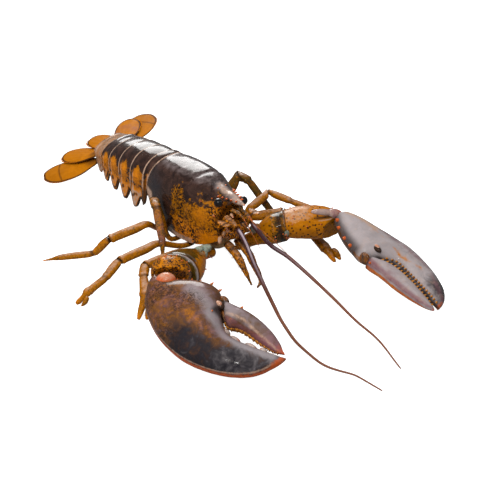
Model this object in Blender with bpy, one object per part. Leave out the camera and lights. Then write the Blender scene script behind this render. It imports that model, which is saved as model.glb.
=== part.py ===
"""A whole raw lobster, standing on its walking legs with both claws resting in front of it.

Sizes are in metres, +Z is up, the head faces -Y and the animal's left is +X. The body is laid out
round the point on the ground under the neck groove; at the end everything is moved together so that
the origin is at the middle of the whole animal's footprint, on the ground.
"""
import math

import bmesh
import bpy
from mathutils import Vector

# Driving dimensions of the shell
SHELL_HALF_WIDTH = 0.0275
SHELL_TOP = 0.0765
SHELL_FRONT = -0.033
SHELL_BACK = 0.0515
ROSTRUM_TIP = (0.0, -0.058, 0.0645)
FLAP_THICKNESS = 0.0018
GAP = 0.00032

CLAW_SQUARENESS = 0.92
STERNUM_SQUARENESS = 0.7
MOUTH_SQUARENESS = 0.8

# Numbers of sides round each kind of piece
SHELL_SIDES = 40
RING_SIDES = 28
CLAW_SIDES = 20
ARM_SIDES = 16
LEG_SIDES = 10
BLADE_SIDES = 12
FEELER_SIDES = 6

# Shape of the shell from its front edge (0) to its back edge (1)
SHELL_STATIONS = (1.0, 0.985, 0.92, 0.82, 0.7, 0.58, 0.47, 0.41, 0.385, 0.355, 0.29, 0.2, 0.11, 0.04, 0.0)
SHELL_WIDTHS = ((0, 0.0155), (0.08, 0.0185), (0.2, 0.0225), (0.37, 0.0262), (0.385, 0.0256), (0.41, 0.0266),
                (0.55, SHELL_HALF_WIDTH), (0.68, SHELL_HALF_WIDTH), (0.82, 0.0266), (0.93, 0.0246), (1, 0.0228))
SHELL_TOPS = ((0, 0.0690), (0.15, 0.0716), (0.35, 0.0752), (0.385, 0.0744), (0.41, 0.0757),
              (0.55, SHELL_TOP), (0.75, SHELL_TOP), (0.92, 0.0755), (1, 0.0742))
SHELL_LOWS = ((0, 0.0255), (0.08, 0.0185), (0.2, 0.0130), (0.4, 0.0098), (0.6, 0.0100), (0.75, 0.0135),
              (0.9, 0.0230), (1, 0.0335))
FLAP_DEPTHS = ((0, 0.0025), (0.1, 0.0070), (0.25, 0.0125), (0.7, 0.0125), (0.9, 0.0060), (1, 0.0007))
SHELL_WIDEST_HEIGHT = 0.0465
SHELL_TUCK = 0.11
FRONT_EDGE = ((0.020, -0.0370), (0.028, -0.0395), (0.040, -0.0385), (0.052, -0.0355), (0.060, -0.0285),
              (0.066, -0.0290), (0.070, SHELL_FRONT))
BACK_EDGE = ((0.020, 0.0680), (0.034, 0.0660), (0.045, 0.0635), (0.058, 0.0595), (0.070, 0.0540),
             (0.075, SHELL_BACK))
ROSTRUM_SECTIONS = ((-0.0402, 0.0058, 0.0650, 0.0033), (-0.0445, 0.0046, 0.0645, 0.0027),
                    (-0.0500, 0.0032, 0.0642, 0.0021), (-0.0545, 0.0018, 0.0643, 0.0014))

# Shares of a hoop's outline: outside of one side, and the rounded shoulder of that
OUTSIDE_SHARE = 0.65
SHOULDER_SHARE = 0.6
HOOP_SQUARENESS = 0.86

FACE_SHARE = 0.5
FACE_RECESS = 0.0060

# Rings of the tail: its joints from the shell (0) to the fan (6)
RING_TOP_Y = (SHELL_BACK, 0.0640, 0.0860, 0.1075, 0.1275, 0.1455, 0.1700)
RING_TOP_Z = (0.0738, 0.0732, 0.0710, 0.0678, 0.0635, 0.0585, 0.0500)
RING_HALF_WIDTHS = (0.0225, 0.0248, 0.0262, 0.0259, 0.0250, 0.0235, 0.0192)
RING_SIDE_SHIFTS = (0.0, 0.0, 0.0004, 0.0012, 0.0022, 0.0038, 0.0060)
RING_ROLLS = (0, 0, 1, 3, 5, 8, 11)
RING_LEANS = (0.0145, 0.0085, 0.0040, 0.0040, 0.0060, 0.0085, 0.0060)
SIDE_PLATE_TIPS = (0.0200, 0.0135, 0.0154, 0.0165, 0.0178, 0.0190)
SIDE_PLATE_RISES = (0.0120, 0.0142, 0.0140, 0.0135, 0.0122, 0.0082)
BELLY_RISES = (0.0140, 0.0147, 0.0145, 0.0142, 0.0132, 0.0142)
LEAN_BASE = 0.0180
RING_WIDEST = 0.42
RING_TUCK = 0.04
ROLL_CENTRE = 0.3
CAP_HOLLOW = 0.0030
RING_STATIONS = (0.0, 0.2, 0.42, 0.6, 0.8, 1.0)
RING_FLARES = ((0, 0.945), (0.2, 0.965), (0.5, 0.99), (0.8, 1.0), (1, 1.0))
SIDE_PLATE_DROPS = ((0, 0.0), (0.2, 0.1), (0.42, 0.86), (0.6, 1.0), (0.8, 0.94), (1, 0.04))
BELLY_HOLLOWS = ((0, 0.10), (0.2, 0.6), (0.42, 1.0), (0.6, 1.0), (0.8, 0.75), (1, 0.10))

# Blades of the tail fan: root, tip, half width, roll in degrees about the blade's length
FAN_THICKNESS = 0.0008
ROOT_THICKENING = 1.5
TIP_THINNING = 0.8
TELSON = ((0.0085, 0.1750, 0.0375), (0.0140, 0.2175, 0.0305), 0.0145, 11)
FAN_BLADES = {
    "uropod_right_inner": ((-0.0060, 0.1780, 0.0305), (-0.0225, 0.2205, 0.0195), 0.0160, 9),
    "uropod_right_outer": ((-0.0090, 0.1770, 0.0240), (-0.0575, 0.2070, 0.0085), 0.0155, 14),
    "uropod_left_inner": ((0.0250, 0.1755, 0.0373), (0.0565, 0.2080, 0.0432), 0.0145, 10),
    "uropod_left_outer": ((0.0290, 0.1755, 0.0330), (0.0755, 0.2060, 0.0445), 0.0203, 12),
}
BLADE_OUTLINE = ((0, 0.30), (0.1, 0.52), (0.3, 0.86), (0.55, 1.0), (0.75, 0.95), (0.9, 0.70), (0.96, 0.46),
                 (0.985, 0.28))
BLADE_STATIONS = (0.0, 0.1, 0.25, 0.42, 0.6, 0.75, 0.87, 0.95, 0.985)

# Claws: wrist, heading from -Y towards +X, pitch and roll in degrees, and the outline seen from above.
# Places along a claw run from the wrist; places across it grow towards the animal's left. The seat is
# the place where the wrist piece ends, its end face turned away from square by the seat's turn.
CRUSHER = {
    "wrist": (-0.1060, -0.0700, 0.0385), "heading": 16, "pitch": -10, "roll": 24,
    "seat": (0.0076, 0.0068, 0.0), "seat_turn": 54,
    "outer": ((0, -0.0100), (0.004, -0.0190), (0.009, -0.0270), (0.019, -0.0355), (0.043, -0.0470),
              (0.067, -0.0505), (0.087, -0.0480), (0.104, -0.0425), (0.118, -0.0345), (0.1275, -0.0240),
              (0.1330, -0.0120)),
    "inner": ((0, 0.0010), (0.009, 0.0025), (0.018, 0.0050), (0.030, 0.0120), (0.042, 0.0160), (0.052, 0.0165),
              (0.058, 0.0130), (0.064, 0.0060), (0.072, -0.0040), (0.079, -0.0110), (0.088, -0.0140),
              (0.101, -0.0130), (0.116, -0.0100), (0.127, -0.0078), (0.1330, -0.0062)),
    "thickness": ((0, 0.0085), (0.006, 0.0115), (0.016, 0.0150), (0.035, 0.0180), (0.055, 0.0185),
                  (0.070, 0.0165), (0.085, 0.0135), (0.105, 0.0105), (0.122, 0.0065), (0.1330, 0.0025)),
    "palm_stations": (0.0012, 0.005, 0.011, 0.019, 0.030, 0.041, 0.050, 0.057, 0.064, 0.071, 0.078, 0.085, 0.093,
                      0.101, 0.110, 0.118, 0.125, 0.1315),
    "tip": (0.1345, -0.0066),
    "finger_outer": ((0.064, 0.0090), (0.070, 0.0104), (0.078, 0.0114), (0.086, 0.0118), (0.097, 0.0108),
                     (0.110, 0.0080), (0.119, 0.0045), (0.126, 0.0005), (0.1285, -0.0020)),
    "finger_inner": ((0.064, 0.0075), (0.072, -0.0022), (0.079, -0.0080), (0.086, -0.0050), (0.096, -0.0045),
                     (0.108, -0.0060), (0.119, -0.0066), (0.126, -0.0060), (0.1285, -0.0048)),
    "finger_thickness": ((0.064, 0.0080), (0.072, 0.0108), (0.086, 0.0112), (0.105, 0.0088), (0.120, 0.0055),
                         (0.1285, 0.0020)),
    "finger_stations": (0.0650, 0.069, 0.074, 0.080, 0.087, 0.096, 0.105, 0.113, 0.120, 0.125, 0.128),
    "finger_tip": (0.1318, -0.0036),
}
CUTTER = {
    "wrist": (0.0800, -0.0940, 0.0375), "heading": -2, "pitch": -15, "roll": -4,
    "seat": (-0.0006, 0.0010, -0.0100), "seat_turn": 0,
    "outer": ((0, 0.0080), (0.004, 0.0140), (0.012, 0.0185), (0.030, 0.0240), (0.050, 0.0300), (0.070, 0.0335),
              (0.090, 0.0330), (0.108, 0.0290), (0.120, 0.0235), (0.128, 0.0145), (0.1305, 0.0080)),
    "inner": ((0, -0.0030), (0.006, -0.0060), (0.014, -0.0095), (0.026, -0.0135), (0.040, -0.0160),
              (0.050, -0.0165), (0.056, -0.0120), (0.064, -0.0020), (0.072, 0.0050), (0.080, 0.0070),
              (0.095, 0.0072), (0.112, 0.0062), (0.125, 0.0050), (0.1305, 0.0040)),
    "thickness": ((0, 0.0080), (0.008, 0.0100), (0.025, 0.0125), (0.050, 0.0135), (0.070, 0.0120), (0.090, 0.0098),
                  (0.110, 0.0075), (0.124, 0.0048), (0.1305, 0.0022)),
    "palm_stations": (0.0012, 0.005, 0.012, 0.021, 0.032, 0.043, 0.050, 0.057, 0.064, 0.071, 0.078, 0.087, 0.096,
                      0.105, 0.113, 0.120, 0.126, 0.129),
    "tip": (0.1320, 0.0030),
    "finger_outer": ((0.058, -0.0160), (0.064, -0.0155), (0.072, -0.0140), (0.086, -0.0128), (0.104, -0.0100),
                     (0.118, -0.0068), (0.126, -0.0042), (0.1295, -0.0020)),
    "finger_inner": ((0.058, -0.0128), (0.064, -0.0062), (0.072, 0.0002), (0.080, 0.0030), (0.095, 0.0034),
                     (0.112, 0.0026), (0.126, 0.0014), (0.1295, 0.0010)),
    "finger_thickness": ((0.058, 0.0060), (0.066, 0.0082), (0.086, 0.0080), (0.105, 0.0066), (0.120, 0.0042),
                         (0.1295, 0.0016)),
    "finger_stations": (0.0590, 0.063, 0.068, 0.074, 0.082, 0.091, 0.101, 0.110, 0.118, 0.124, 0.128),
    "finger_tip": (0.1310, -0.0006),
}

# Arms of the claws: joints from the body outwards, with the half widths along each piece
CRUSHER_ARM = ((-0.0140, -0.0250, 0.0070), (-0.0300, -0.0285, 0.0115), (-0.0800, -0.0600, 0.0250))
CRUSHER_ARM_WIDTHS = ((0.0060, 0.0074), (0.0074, 0.0108, 0.0150, 0.0182, 0.0196, 0.0198))
CRUSHER_WRIST_WIDTHS = (0.0160, 0.0166, 0.0170, 0.0168, 0.0158, 0.0142)
CUTTER_ARM = ((0.0140, -0.0310, 0.0070), (0.0230, -0.0450, 0.0170), (0.0460, -0.0610, 0.0300))
CUTTER_ARM_WIDTHS = ((0.0065, 0.0080), (0.0080, 0.0115, 0.0145, 0.0162, 0.0152))
CUTTER_WRIST_WIDTHS = (0.0142, 0.0162, 0.0172, 0.0172, 0.0160, 0.0135)
ARM_DEPTH_RATIO = 0.88
WRIST_SWEEP = 0.24

# Walking legs: hip, joint beside the shell, end of the thigh base, knee, end of the shin base, end of the
# shin, toe tip
LEGS = {
    "leg_right_2": ((-0.0150, -0.0130, 0.0050), (-0.0290, -0.0140, 0.0070), (-0.0440, -0.0195, 0.0160),
                    (-0.0860, -0.0230, 0.0200), (-0.0950, -0.0330, 0.0165), (-0.1060, -0.0510, 0.0100),
                    (-0.1160, -0.0630, -0.0030)),
    "leg_right_3": ((-0.0155, 0.0020, 0.0050), (-0.0310, 0.0020, 0.0070), (-0.0520, 0.0030, 0.0180),
                    (-0.0965, 0.0030, 0.0165), (-0.1180, -0.0060, 0.0110), (-0.1370, -0.0060, 0.0040),
                    (-0.1460, -0.0090, -0.0030)),
    "leg_right_4": ((-0.0155, 0.0190, 0.0050), (-0.0300, 0.0190, 0.0070), (-0.0320, 0.0245, 0.0220),
                    (-0.0335, 0.0350, 0.0430), (-0.0405, 0.0220, 0.0430), (-0.0530, -0.0030, 0.0230),
                    (-0.0610, -0.0140, -0.0030)),
    "leg_right_5": ((-0.0150, 0.0370, 0.0070), (-0.0300, 0.0370, 0.0100), (-0.0480, 0.0260, 0.0270),
                    (-0.0870, 0.0330, 0.0220), (-0.1010, 0.0400, 0.0090), (-0.1260, 0.0610, 0.0040),
                    (-0.1345, 0.0760, -0.0030)),
    "leg_left_2": ((0.0150, -0.0130, 0.0050), (0.0290, -0.0140, 0.0080), (0.0420, -0.0120, 0.0250),
                   (0.0700, -0.0090, 0.0345), (0.0780, -0.0340, 0.0320), (0.0920, -0.0590, 0.0260),
                   (0.0980, -0.0700, 0.0180)),
    "leg_left_3": ((0.0155, 0.0020, 0.0050), (0.0300, -0.0010, 0.0070), (0.0430, -0.0100, 0.0160),
                   (0.0700, -0.0300, 0.0220), (0.0790, -0.0530, 0.0120), (0.0790, -0.0830, 0.0010),
                   (0.0790, -0.1000, -0.0030)),
    "leg_left_4": ((0.0155, 0.0190, 0.0050), (0.0300, 0.0200, 0.0070), (0.0370, 0.0200, 0.0230),
                   (0.0560, 0.0200, 0.0470), (0.0600, 0.0080, 0.0430), (0.0710, -0.0120, 0.0150),
                   (0.0780, -0.0220, -0.0030)),
    "leg_left_5": ((0.0150, 0.0370, 0.0070), (0.0300, 0.0390, 0.0100), (0.0380, 0.0460, 0.0260),
                   (0.0560, 0.0660, 0.0260), (0.0640, 0.0800, 0.0140), (0.0760, 0.1020, 0.0040),
                   (0.0840, 0.1120, -0.0030)),
}
PINCER_LEGS = ("leg_right_2", "leg_right_3", "leg_left_2", "leg_left_3")
THIGH_WIDTHS = ((0.0030, 0.0034), (0.0034, 0.0040), (0.0040, 0.0048, 0.0051, 0.0049, 0.0043))
SHIN_WIDTHS = ((0.0042, 0.0048, 0.0038), (0.0040, 0.0039, 0.0030), (0.0025, 0.0018, 0.0011, 0.0006))
LEG_DEPTH_RATIO = 0.72
KNEE_GAP = 0.0006
SHARP_KNEE_GAPS = {"leg_right_4": 0.0026}
LEG_FULLNESS = {"leg_left_3": 1.15, "leg_left_4": 1.2}
PINCER_SPREADS = {"leg_right_2": 0.0052, "leg_right_3": 0.0038, "leg_left_2": 0.0050, "leg_left_3": 0.0052}
HAND_WIDTHS = ((0.0042, 0.0048, 0.0038), (0.0040, 0.0045, 0.0047), (0.0034, 0.0027, 0.0020, 0.0008))
PINCER_SETBACK = 0.0046
PINCER_CLOSING = 0.35
PINCER_WIDTHS = (0.0018, 0.0025, 0.0023, 0.0016, 0.0006)

# Feelers, eyes and mouthparts, given for the animal's right side first
FEELER_BASES = (((-0.0085, -0.0412, 0.0470), (-0.0092, -0.0490, 0.0465), (-0.0090, -0.0575, 0.0445)),
                ((0.0075, -0.0412, 0.0470), (0.0078, -0.0490, 0.0465), (0.0078, -0.0565, 0.0445)))
FEELER_BASE_WIDTHS = (0.0044, 0.0040, 0.0030)
FEELER_ROUTES = (
    ((-0.0092, -0.0592, 0.0440), (-0.0098, -0.0660, 0.0400), (-0.0172, -0.0915, 0.0255), (-0.0281, -0.1262, 0.0110),
     (-0.0385, -0.1550, 0.0050), (-0.0439, -0.1808, 0.0005), (-0.0444, -0.2039, -0.0020),
     (-0.0395, -0.2208, -0.0030), (-0.0334, -0.2325, -0.0032), (-0.0308, -0.2594, -0.0033)),
    ((0.0078, -0.0582, 0.0440), (0.0072, -0.0660, 0.0410), (0.0038, -0.0893, 0.0360), (0.0065, -0.1068, 0.0325),
     (0.0081, -0.1307, 0.0260), (0.0087, -0.1624, 0.0170), (0.0082, -0.1902, 0.0090), (0.0102, -0.2107, 0.0030),
     (0.0012, -0.2497, -0.0033)),
)
FEELER_RADII = ((0, 0.0021), (0.3, 0.0017), (0.7, 0.0011), (1, 0.0006))
SMALL_FEELER_ROUTES = (
    ((-0.0035, -0.0430, 0.0550), (-0.0038, -0.0540, 0.0560), (-0.0080, -0.0740, 0.0500), (-0.0140, -0.0960, 0.0420)),
    ((0.0035, -0.0430, 0.0550), (0.0038, -0.0540, 0.0540), (0.0008, -0.0710, 0.0500), (0.0015, -0.0971, 0.0440),
     (-0.0008, -0.1259, 0.0380)),
)
SMALL_FEELER_RADII = ((0, 0.0019), (0.22, 0.0015), (0.32, 0.0008), (1, 0.0004))
EYE_CENTRES = ((-0.0141, -0.0378, 0.0637), (0.0108, -0.0424, 0.0594))
EYE_RADIUS = 0.0042
SCALE_ROOTS = ((-0.0185, -0.0420, 0.0485), (0.0175, -0.0420, 0.0485))
SCALE_TIPS = ((-0.0180, -0.0580, 0.0500), (0.0165, -0.0580, 0.0500))
SCALE_HALF_WIDTH = 0.0040
JAW_LEGS = (
    ((-0.0070, -0.0415, 0.0200), (-0.0100, -0.0560, 0.0180), (-0.0120, -0.0680, 0.0125), (-0.0140, -0.0840, -0.0010)),
    ((0.0050, -0.0415, 0.0200), (0.0015, -0.0600, 0.0170), (-0.0010, -0.0720, 0.0090), (-0.0030, -0.0840, 0.0000),
     (-0.0110, -0.0880, -0.0026)),
)
JAW_LEG_WIDTHS = (0.0044, 0.0042, 0.0034, 0.0022, 0.0010)
MOUTH_SECTIONS = ((-0.0415, 0.0125, 0.0335, 0.0080), (-0.0450, 0.0120, 0.0335, 0.0075),
                  (-0.0485, 0.0095, 0.0335, 0.0062), (-0.0510, 0.0055, 0.0335, 0.0040))
STERNUM_SECTIONS = ((-0.0300, 0.0050, 0.0120), (-0.0240, 0.0080, 0.0050), (-0.0080, 0.0105, 0.0020),
                    (0.0120, 0.0115, 0.0015), (0.0320, 0.0115, 0.0030), (0.0480, 0.0100, 0.0110))
STERNUM_TOP = 0.0215
PADDLE_RINGS = (2, 3, 4, 5)
PADDLE_SIDES = 8
PADDLE_DROP = 0.0036
PADDLE_LEAN = 0.6
PADDLE_HALF_THICKNESS = 0.0009
PADDLE_DIRECTION = (0, 0.75, -0.66)
PADDLE_BAR_SHARE = 0.42
PADDLE_SECTIONS = ((0.30, 0.0, 0.0013), (0.85, 0.0010, 0.0017), (1.0, 0.0038, 0.0030), (1.06, 0.0075, 0.0042),
                   (1.10, 0.0115, 0.0034), (1.12, 0.0150, 0.0014))

COLOURS = {
    "shell_dark": ((0.060, 0.040, 0.038), 0.28),
    "shell_ochre": ((0.420, 0.190, 0.030), 0.38),
    "fan_amber": ((0.620, 0.270, 0.020), 0.40),
    "claw_slate": ((0.120, 0.090, 0.095), 0.26),
    "feeler_plum": ((0.130, 0.045, 0.035), 0.35),
    "belly_pale": ((0.480, 0.320, 0.160), 0.50),
    "eye_black": ((0.010, 0.010, 0.012), 0.08),
}


def smooth(pairs, place):
    """Read a smooth curve that never overshoots its (place, value) pairs."""
    places = [pair[0] for pair in pairs]
    values = [pair[1] for pair in pairs]
    if place <= places[0]:
        return values[0]
    if place >= places[-1]:
        return values[-1]
    steps = [b - a for a, b in zip(places, places[1:])]
    slopes = [(b - a) / step for a, b, step in zip(values, values[1:], steps)]
    tangents = [slopes[0]]
    for before, after in zip(slopes, slopes[1:]):
        tangents.append(2 * before * after / (before + after) if before * after > 0 else 0.0)
    tangents.append(slopes[-1])
    i = max(k for k in range(len(steps)) if places[k] <= place)
    t = (place - places[i]) / steps[i]
    return ((2 * t**3 - 3 * t**2 + 1) * values[i] + (t**3 - 2 * t**2 + t) * steps[i] * tangents[i]
            + (3 * t**2 - 2 * t**3) * values[i + 1] + (t**3 - t**2) * steps[i] * tangents[i + 1])


def shell_material(name):
    """Make one finish of the shell from its colour and roughness."""
    colour, roughness = COLOURS[name]
    material = bpy.data.materials.new(name)
    material.use_nodes = True
    shader = material.node_tree.nodes["Principled BSDF"]
    shader.inputs["Base Color"].default_value = (*colour, 1.0)
    shader.inputs["Roughness"].default_value = roughness
    shader.inputs["Metallic"].default_value = 0.0
    return material


def skin(name, rings, material, start=None, end=None):
    """Close a body round rings of points: a sphere whose parallels are laid on the rings."""
    sides = len(rings[0])
    body = bmesh.new()
    bmesh.ops.create_uvsphere(body, u_segments=sides, v_segments=len(rings) + 1, radius=1.0)
    first = start if start is not None else sum(rings[0], Vector()) / sides
    last = end if end is not None else sum(rings[-1], Vector()) / sides
    for vert in body.verts:
        row = round(math.acos(max(-1.0, min(1.0, vert.co.z))) / math.pi * (len(rings) + 1))
        if row == 0:
            vert.co = first
        elif row == len(rings) + 1:
            vert.co = last
        else:
            column = round(math.atan2(vert.co.y, vert.co.x) / math.tau * sides) % sides
            vert.co = rings[row - 1][column]
    if body.calc_volume(signed=True) < 0:
        bmesh.ops.reverse_faces(body, faces=body.faces)
    mesh = bpy.data.meshes.new(name)
    body.to_mesh(mesh)
    body.free()
    mesh.shade_smooth()
    mesh.materials.append(material)
    piece = bpy.data.objects.new(name, mesh)
    bpy.context.scene.collection.objects.link(piece)
    return piece


def oval(centre, across, normal, half_width, half_depth, sides, squareness=1.0):
    """Points round one cross-section, from its across side by way of its upper side."""
    points = []
    for k in range(sides):
        turn = math.tau * k / sides
        c, s = math.cos(turn), math.sin(turn)
        x = math.copysign(abs(c) ** squareness, c) * half_width
        z = math.copysign(abs(s) ** squareness, s) * half_depth
        points.append(centre + across * x + normal * z)
    return points


def route_frames(points, first=None, last=None):
    """Across, upward and forward directions at each point of a route, turned no more than it bends."""
    frames = []
    across = None
    for i in range(len(points)):
        nearer = max(i - 1, 0)
        farther = min(i + 1, len(points) - 1)
        heading = ((points[farther] - points[max(farther - 1, 0)]).normalized()
                   + (points[nearer + 1] - points[nearer]).normalized()).normalized()
        if i == 0 and first is not None:
            heading = first
        if i + 1 == len(points) and last is not None:
            heading = last
        if across is None:
            across = heading.cross(Vector((0, 0, 1)))
        across = (across - heading * across.dot(heading)).normalized()
        frames.append((across, across.cross(heading), heading))
    return frames


def jointed(name, points, widths, depth_ratio, sides, material, first=None, last=None):
    """Skin a limb piece whose sections stand at points; its end faces can be turned to its neighbours'."""
    rings = []
    for point, width, (across, normal, _) in zip(points, widths, route_frames(points, first, last)):
        rings.append(oval(point, across, normal, width, width * depth_ratio, sides))
    return skin(name, rings, material)


def midway(before, after):
    """Direction halfway between two others."""
    return (before.normalized() + after.normalized()).normalized()


def spread(start, end, count):
    """Evenly spaced points from start to end, both included."""
    return [start.lerp(end, k / (count - 1)) for k in range(count)]


def arc(start, start_pull, end_pull, end, count):
    """Points along a curve that leaves start towards start_pull and reaches end from end_pull."""
    points = []
    for k in range(count):
        t = k / (count - 1)
        points.append(start * (1 - t)**3 + start_pull * 3 * t * (1 - t)**2
                      + end_pull * 3 * t**2 * (1 - t) + end * t**3)
    return points


def limb_points(joints, width_rows):
    """Sections of a chain of limb pieces; the first section of each later piece is left to its neighbour."""
    points, widths = [], []
    for start, end, row in zip(joints, joints[1:], width_rows):
        placed = spread(start, end, len(row))
        skip = 1 if points else 0
        points += placed[skip:]
        widths += row[skip:]
    return points, widths


def vectors(rows):
    """Turn rows of coordinates into vectors."""
    return [Vector(row) for row in rows]


def shell_section(f):
    """One section of the body shell, from the midline down its right side, under it and back up."""
    width = smooth(SHELL_WIDTHS, f)
    top = smooth(SHELL_TOPS, f)
    low = smooth(SHELL_LOWS, f)
    inner = low + smooth(FLAP_DEPTHS, f)
    half = half_hoop(width, top, SHELL_WIDEST_HEIGHT, low, inner, SHELL_SIDES // 2, SHELL_TUCK)
    points = []
    for x, z in half:
        front = smooth(FRONT_EDGE, z)
        back = smooth(BACK_EDGE, z)
        points.append(Vector((x, front + f * (back - front), z)))
    return points


def half_hoop(width, top, widest, low, inner, half_sides, tuck):
    """Outline of a hoop: down the outside of its right side, round the flap, across, and mirrored."""
    outside = round(half_sides * OUTSIDE_SHARE)
    right = []
    for k in range(outside + 1):
        u = k / outside
        if u <= SHOULDER_SHARE:
            turn = math.pi / 2 * u / SHOULDER_SHARE
            right.append((width * math.sin(turn) ** HOOP_SQUARENESS,
                          widest + (top - widest) * math.cos(turn) ** HOOP_SQUARENESS))
        else:
            drop = (u - SHOULDER_SHARE) / (1 - SHOULDER_SHARE)
            right.append((width * (1 - tuck * drop**2), widest + (low - widest) * drop))
    edge = right[-1][0]
    right.append((edge - FLAP_THICKNESS, low + FLAP_THICKNESS * 0.3))
    left_over = half_sides - outside - 1
    for k in range(1, left_over + 1):
        across = (k - 1) / (left_over - 1)
        right.append(((edge - FLAP_THICKNESS * 1.6) * (1 - across), inner))
    outline = [(-x, z) for x, z in right]
    outline += [(x, z) for x, z in reversed(right[1:-1])]
    return outline


def make_body_shell(material):
    """The one-piece shell over head and chest, with the beak between the eyes."""
    rings = [shell_section(f) for f in SHELL_STATIONS]
    turns = [math.tau * k / SHELL_SIDES for k in range(SHELL_SIDES)]
    beak = []
    for y, half_width, height, half_depth in ROSTRUM_SECTIONS:
        beak.append([Vector((-half_width * math.sin(turn), y, height + half_depth * math.cos(turn)))
                     for turn in turns])
    face = []
    for turn, edge, root in zip(turns, rings[-1], beak[0]):
        face.append(edge.lerp(root, FACE_SHARE) + Vector((0, FACE_RECESS * math.sin(turn / 2)**2, 0)))
    rings += [face] + beak
    skin("carapace", rings, material, start=cap_centre(rings[0], -CAP_HOLLOW), end=Vector(ROSTRUM_TIP))


def make_breast(material):
    """The breastplate between the legs, under the shell."""
    rings = []
    for y, half_width, low in STERNUM_SECTIONS:
        middle = (STERNUM_TOP + low) / 2
        rings.append(oval(Vector((0, y, middle)), Vector((1, 0, 0)), Vector((0, 0, 1)), half_width,
                          (STERNUM_TOP - low) / 2, ARM_SIDES, STERNUM_SQUARENESS))
    skin("sternum", rings, material)


def make_mouth(material):
    """The rounded mouth frame under the feelers."""
    rings = []
    for y, half_width, height, half_depth in MOUTH_SECTIONS:
        rings.append(oval(Vector((0, y, height)), Vector((1, 0, 0)), Vector((0, 0, 1)), half_width, half_depth,
                          ARM_SIDES, MOUTH_SQUARENESS))
    skin("mouth_frame", rings, material)


def between(row, i, f):
    """Value of a row of joint values at f of the way along tail ring i."""
    return row[i] + (row[i + 1] - row[i]) * f


def on_tail(i, f, x, y, z):
    """Place a point given square to tail ring i, rolled and shifted with the bend of the tail."""
    roll = math.radians(between(RING_ROLLS, i, f))
    base = SIDE_PLATE_TIPS[i] + BELLY_RISES[i]
    pivot = base + (between(RING_TOP_Z, i, f) - base) * ROLL_CENTRE
    return Vector((between(RING_SIDE_SHIFTS, i, f) + x * math.cos(roll) - (z - pivot) * math.sin(roll), y,
                   pivot + x * math.sin(roll) + (z - pivot) * math.cos(roll)))


def ring_section(i, f):
    """One section of tail ring i, at f of its length."""
    tip = SIDE_PLATE_TIPS[i]
    low = tip + SIDE_PLATE_RISES[i] * (1 - smooth(SIDE_PLATE_DROPS, f))
    flare = smooth(RING_FLARES, f)
    top = between(RING_TOP_Z, i, f)
    base = tip + BELLY_RISES[i]
    crown = base + (top - base) * flare
    widest = base + (top - base) * RING_WIDEST
    inner = low + (base - low) * smooth(BELLY_HOLLOWS, f)
    width = between(RING_HALF_WIDTHS, i, f) * flare
    outline = half_hoop(width, crown, widest, low, inner, RING_SIDES // 2, RING_TUCK)
    start = RING_TOP_Y[i] + GAP
    y_top = start + (RING_TOP_Y[i + 1] - start) * f
    lean = between(RING_LEANS, i, f)
    points = []
    for x, z in outline:
        fall = max(0.0, (top - z) / (top - LEAN_BASE))
        y = y_top + lean * fall
        if i == 0:
            y += (smooth(BACK_EDGE, z) - SHELL_BACK - RING_LEANS[0] * fall) * (1 - f)
        points.append(on_tail(i, f, x, y, z))
    return points


def cap_centre(ring, hollow):
    """Middle of an end face, moved by the given amount along the body."""
    return sum(ring, Vector()) / len(ring) + Vector((0, hollow, 0))


def make_tail_rings(material):
    """Six overlapping rings, each a hoop with pointed side plates."""
    for i in range(6):
        rings = [ring_section(i, f) for f in RING_STATIONS]
        skin(f"tail_ring_{i + 1}", rings, material, start=cap_centre(rings[0], CAP_HOLLOW / 2),
             end=cap_centre(rings[-1], -CAP_HOLLOW))


def make_paddles(material):
    """A pair of small paddles under each of the middle tail rings, joined by their cross bar."""
    reach = Vector(PADDLE_DIRECTION).normalized()
    for number in PADDLE_RINGS:
        i = number - 1
        centre_y = (RING_TOP_Y[i] + RING_TOP_Y[i + 1]) / 2 + RING_LEANS[i] * PADDLE_LEAN
        belly = SIDE_PLATE_TIPS[i] + BELLY_RISES[i] - PADDLE_DROP
        half_bar = RING_HALF_WIDTHS[i] * PADDLE_BAR_SHARE
        route = [(-share, drop, width) for share, drop, width in reversed(PADDLE_SECTIONS)]
        route += PADDLE_SECTIONS
        points = [on_tail(i, 0.5, half_bar * share, centre_y + reach.y * drop, belly + reach.z * drop)
                  for share, drop, _ in route]
        normal = (points[-1] - points[0]).cross(reach).normalized()
        rings = []
        for point, (_, _, width), (_, _, heading) in zip(points, route, route_frames(points)):
            rings.append(oval(point, heading.cross(normal), normal, width, PADDLE_HALF_THICKNESS, PADDLE_SIDES))
        skin(f"swimmerets_{number}", rings, material)


def blade_rings(root, tip, half_width, roll, crown=0.0016):
    """Sections of one fan blade, slightly domed across."""
    heading = (tip - root).normalized()
    across = heading.cross(Vector((0, 0, 1))).normalized()
    normal = across.cross(heading).normalized()
    turn = math.radians(roll)
    across, normal = (across * math.cos(turn) + normal * math.sin(turn),
                      normal * math.cos(turn) - across * math.sin(turn))
    rings = []
    for f in BLADE_STATIONS:
        width = half_width * smooth(BLADE_OUTLINE, f)
        centre = root.lerp(tip, f)
        thickness = FAN_THICKNESS * (ROOT_THICKENING - (ROOT_THICKENING - TIP_THINNING) * f)
        ring = oval(centre, across, normal, width, thickness, BLADE_SIDES)
        for point in ring:
            off = (point - centre).dot(across) / half_width
            point -= normal * crown * off * off
        rings.append(ring)
    return rings


def make_fan(material):
    """The middle plate of the tail and the two pairs of side blades."""
    root, tip, half_width, roll = TELSON
    skin("telson", blade_rings(Vector(root), Vector(tip), half_width, roll), material)
    for name, (root, tip, half_width, roll) in FAN_BLADES.items():
        skin(name, blade_rings(Vector(root), Vector(tip), half_width, roll), material)


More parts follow.
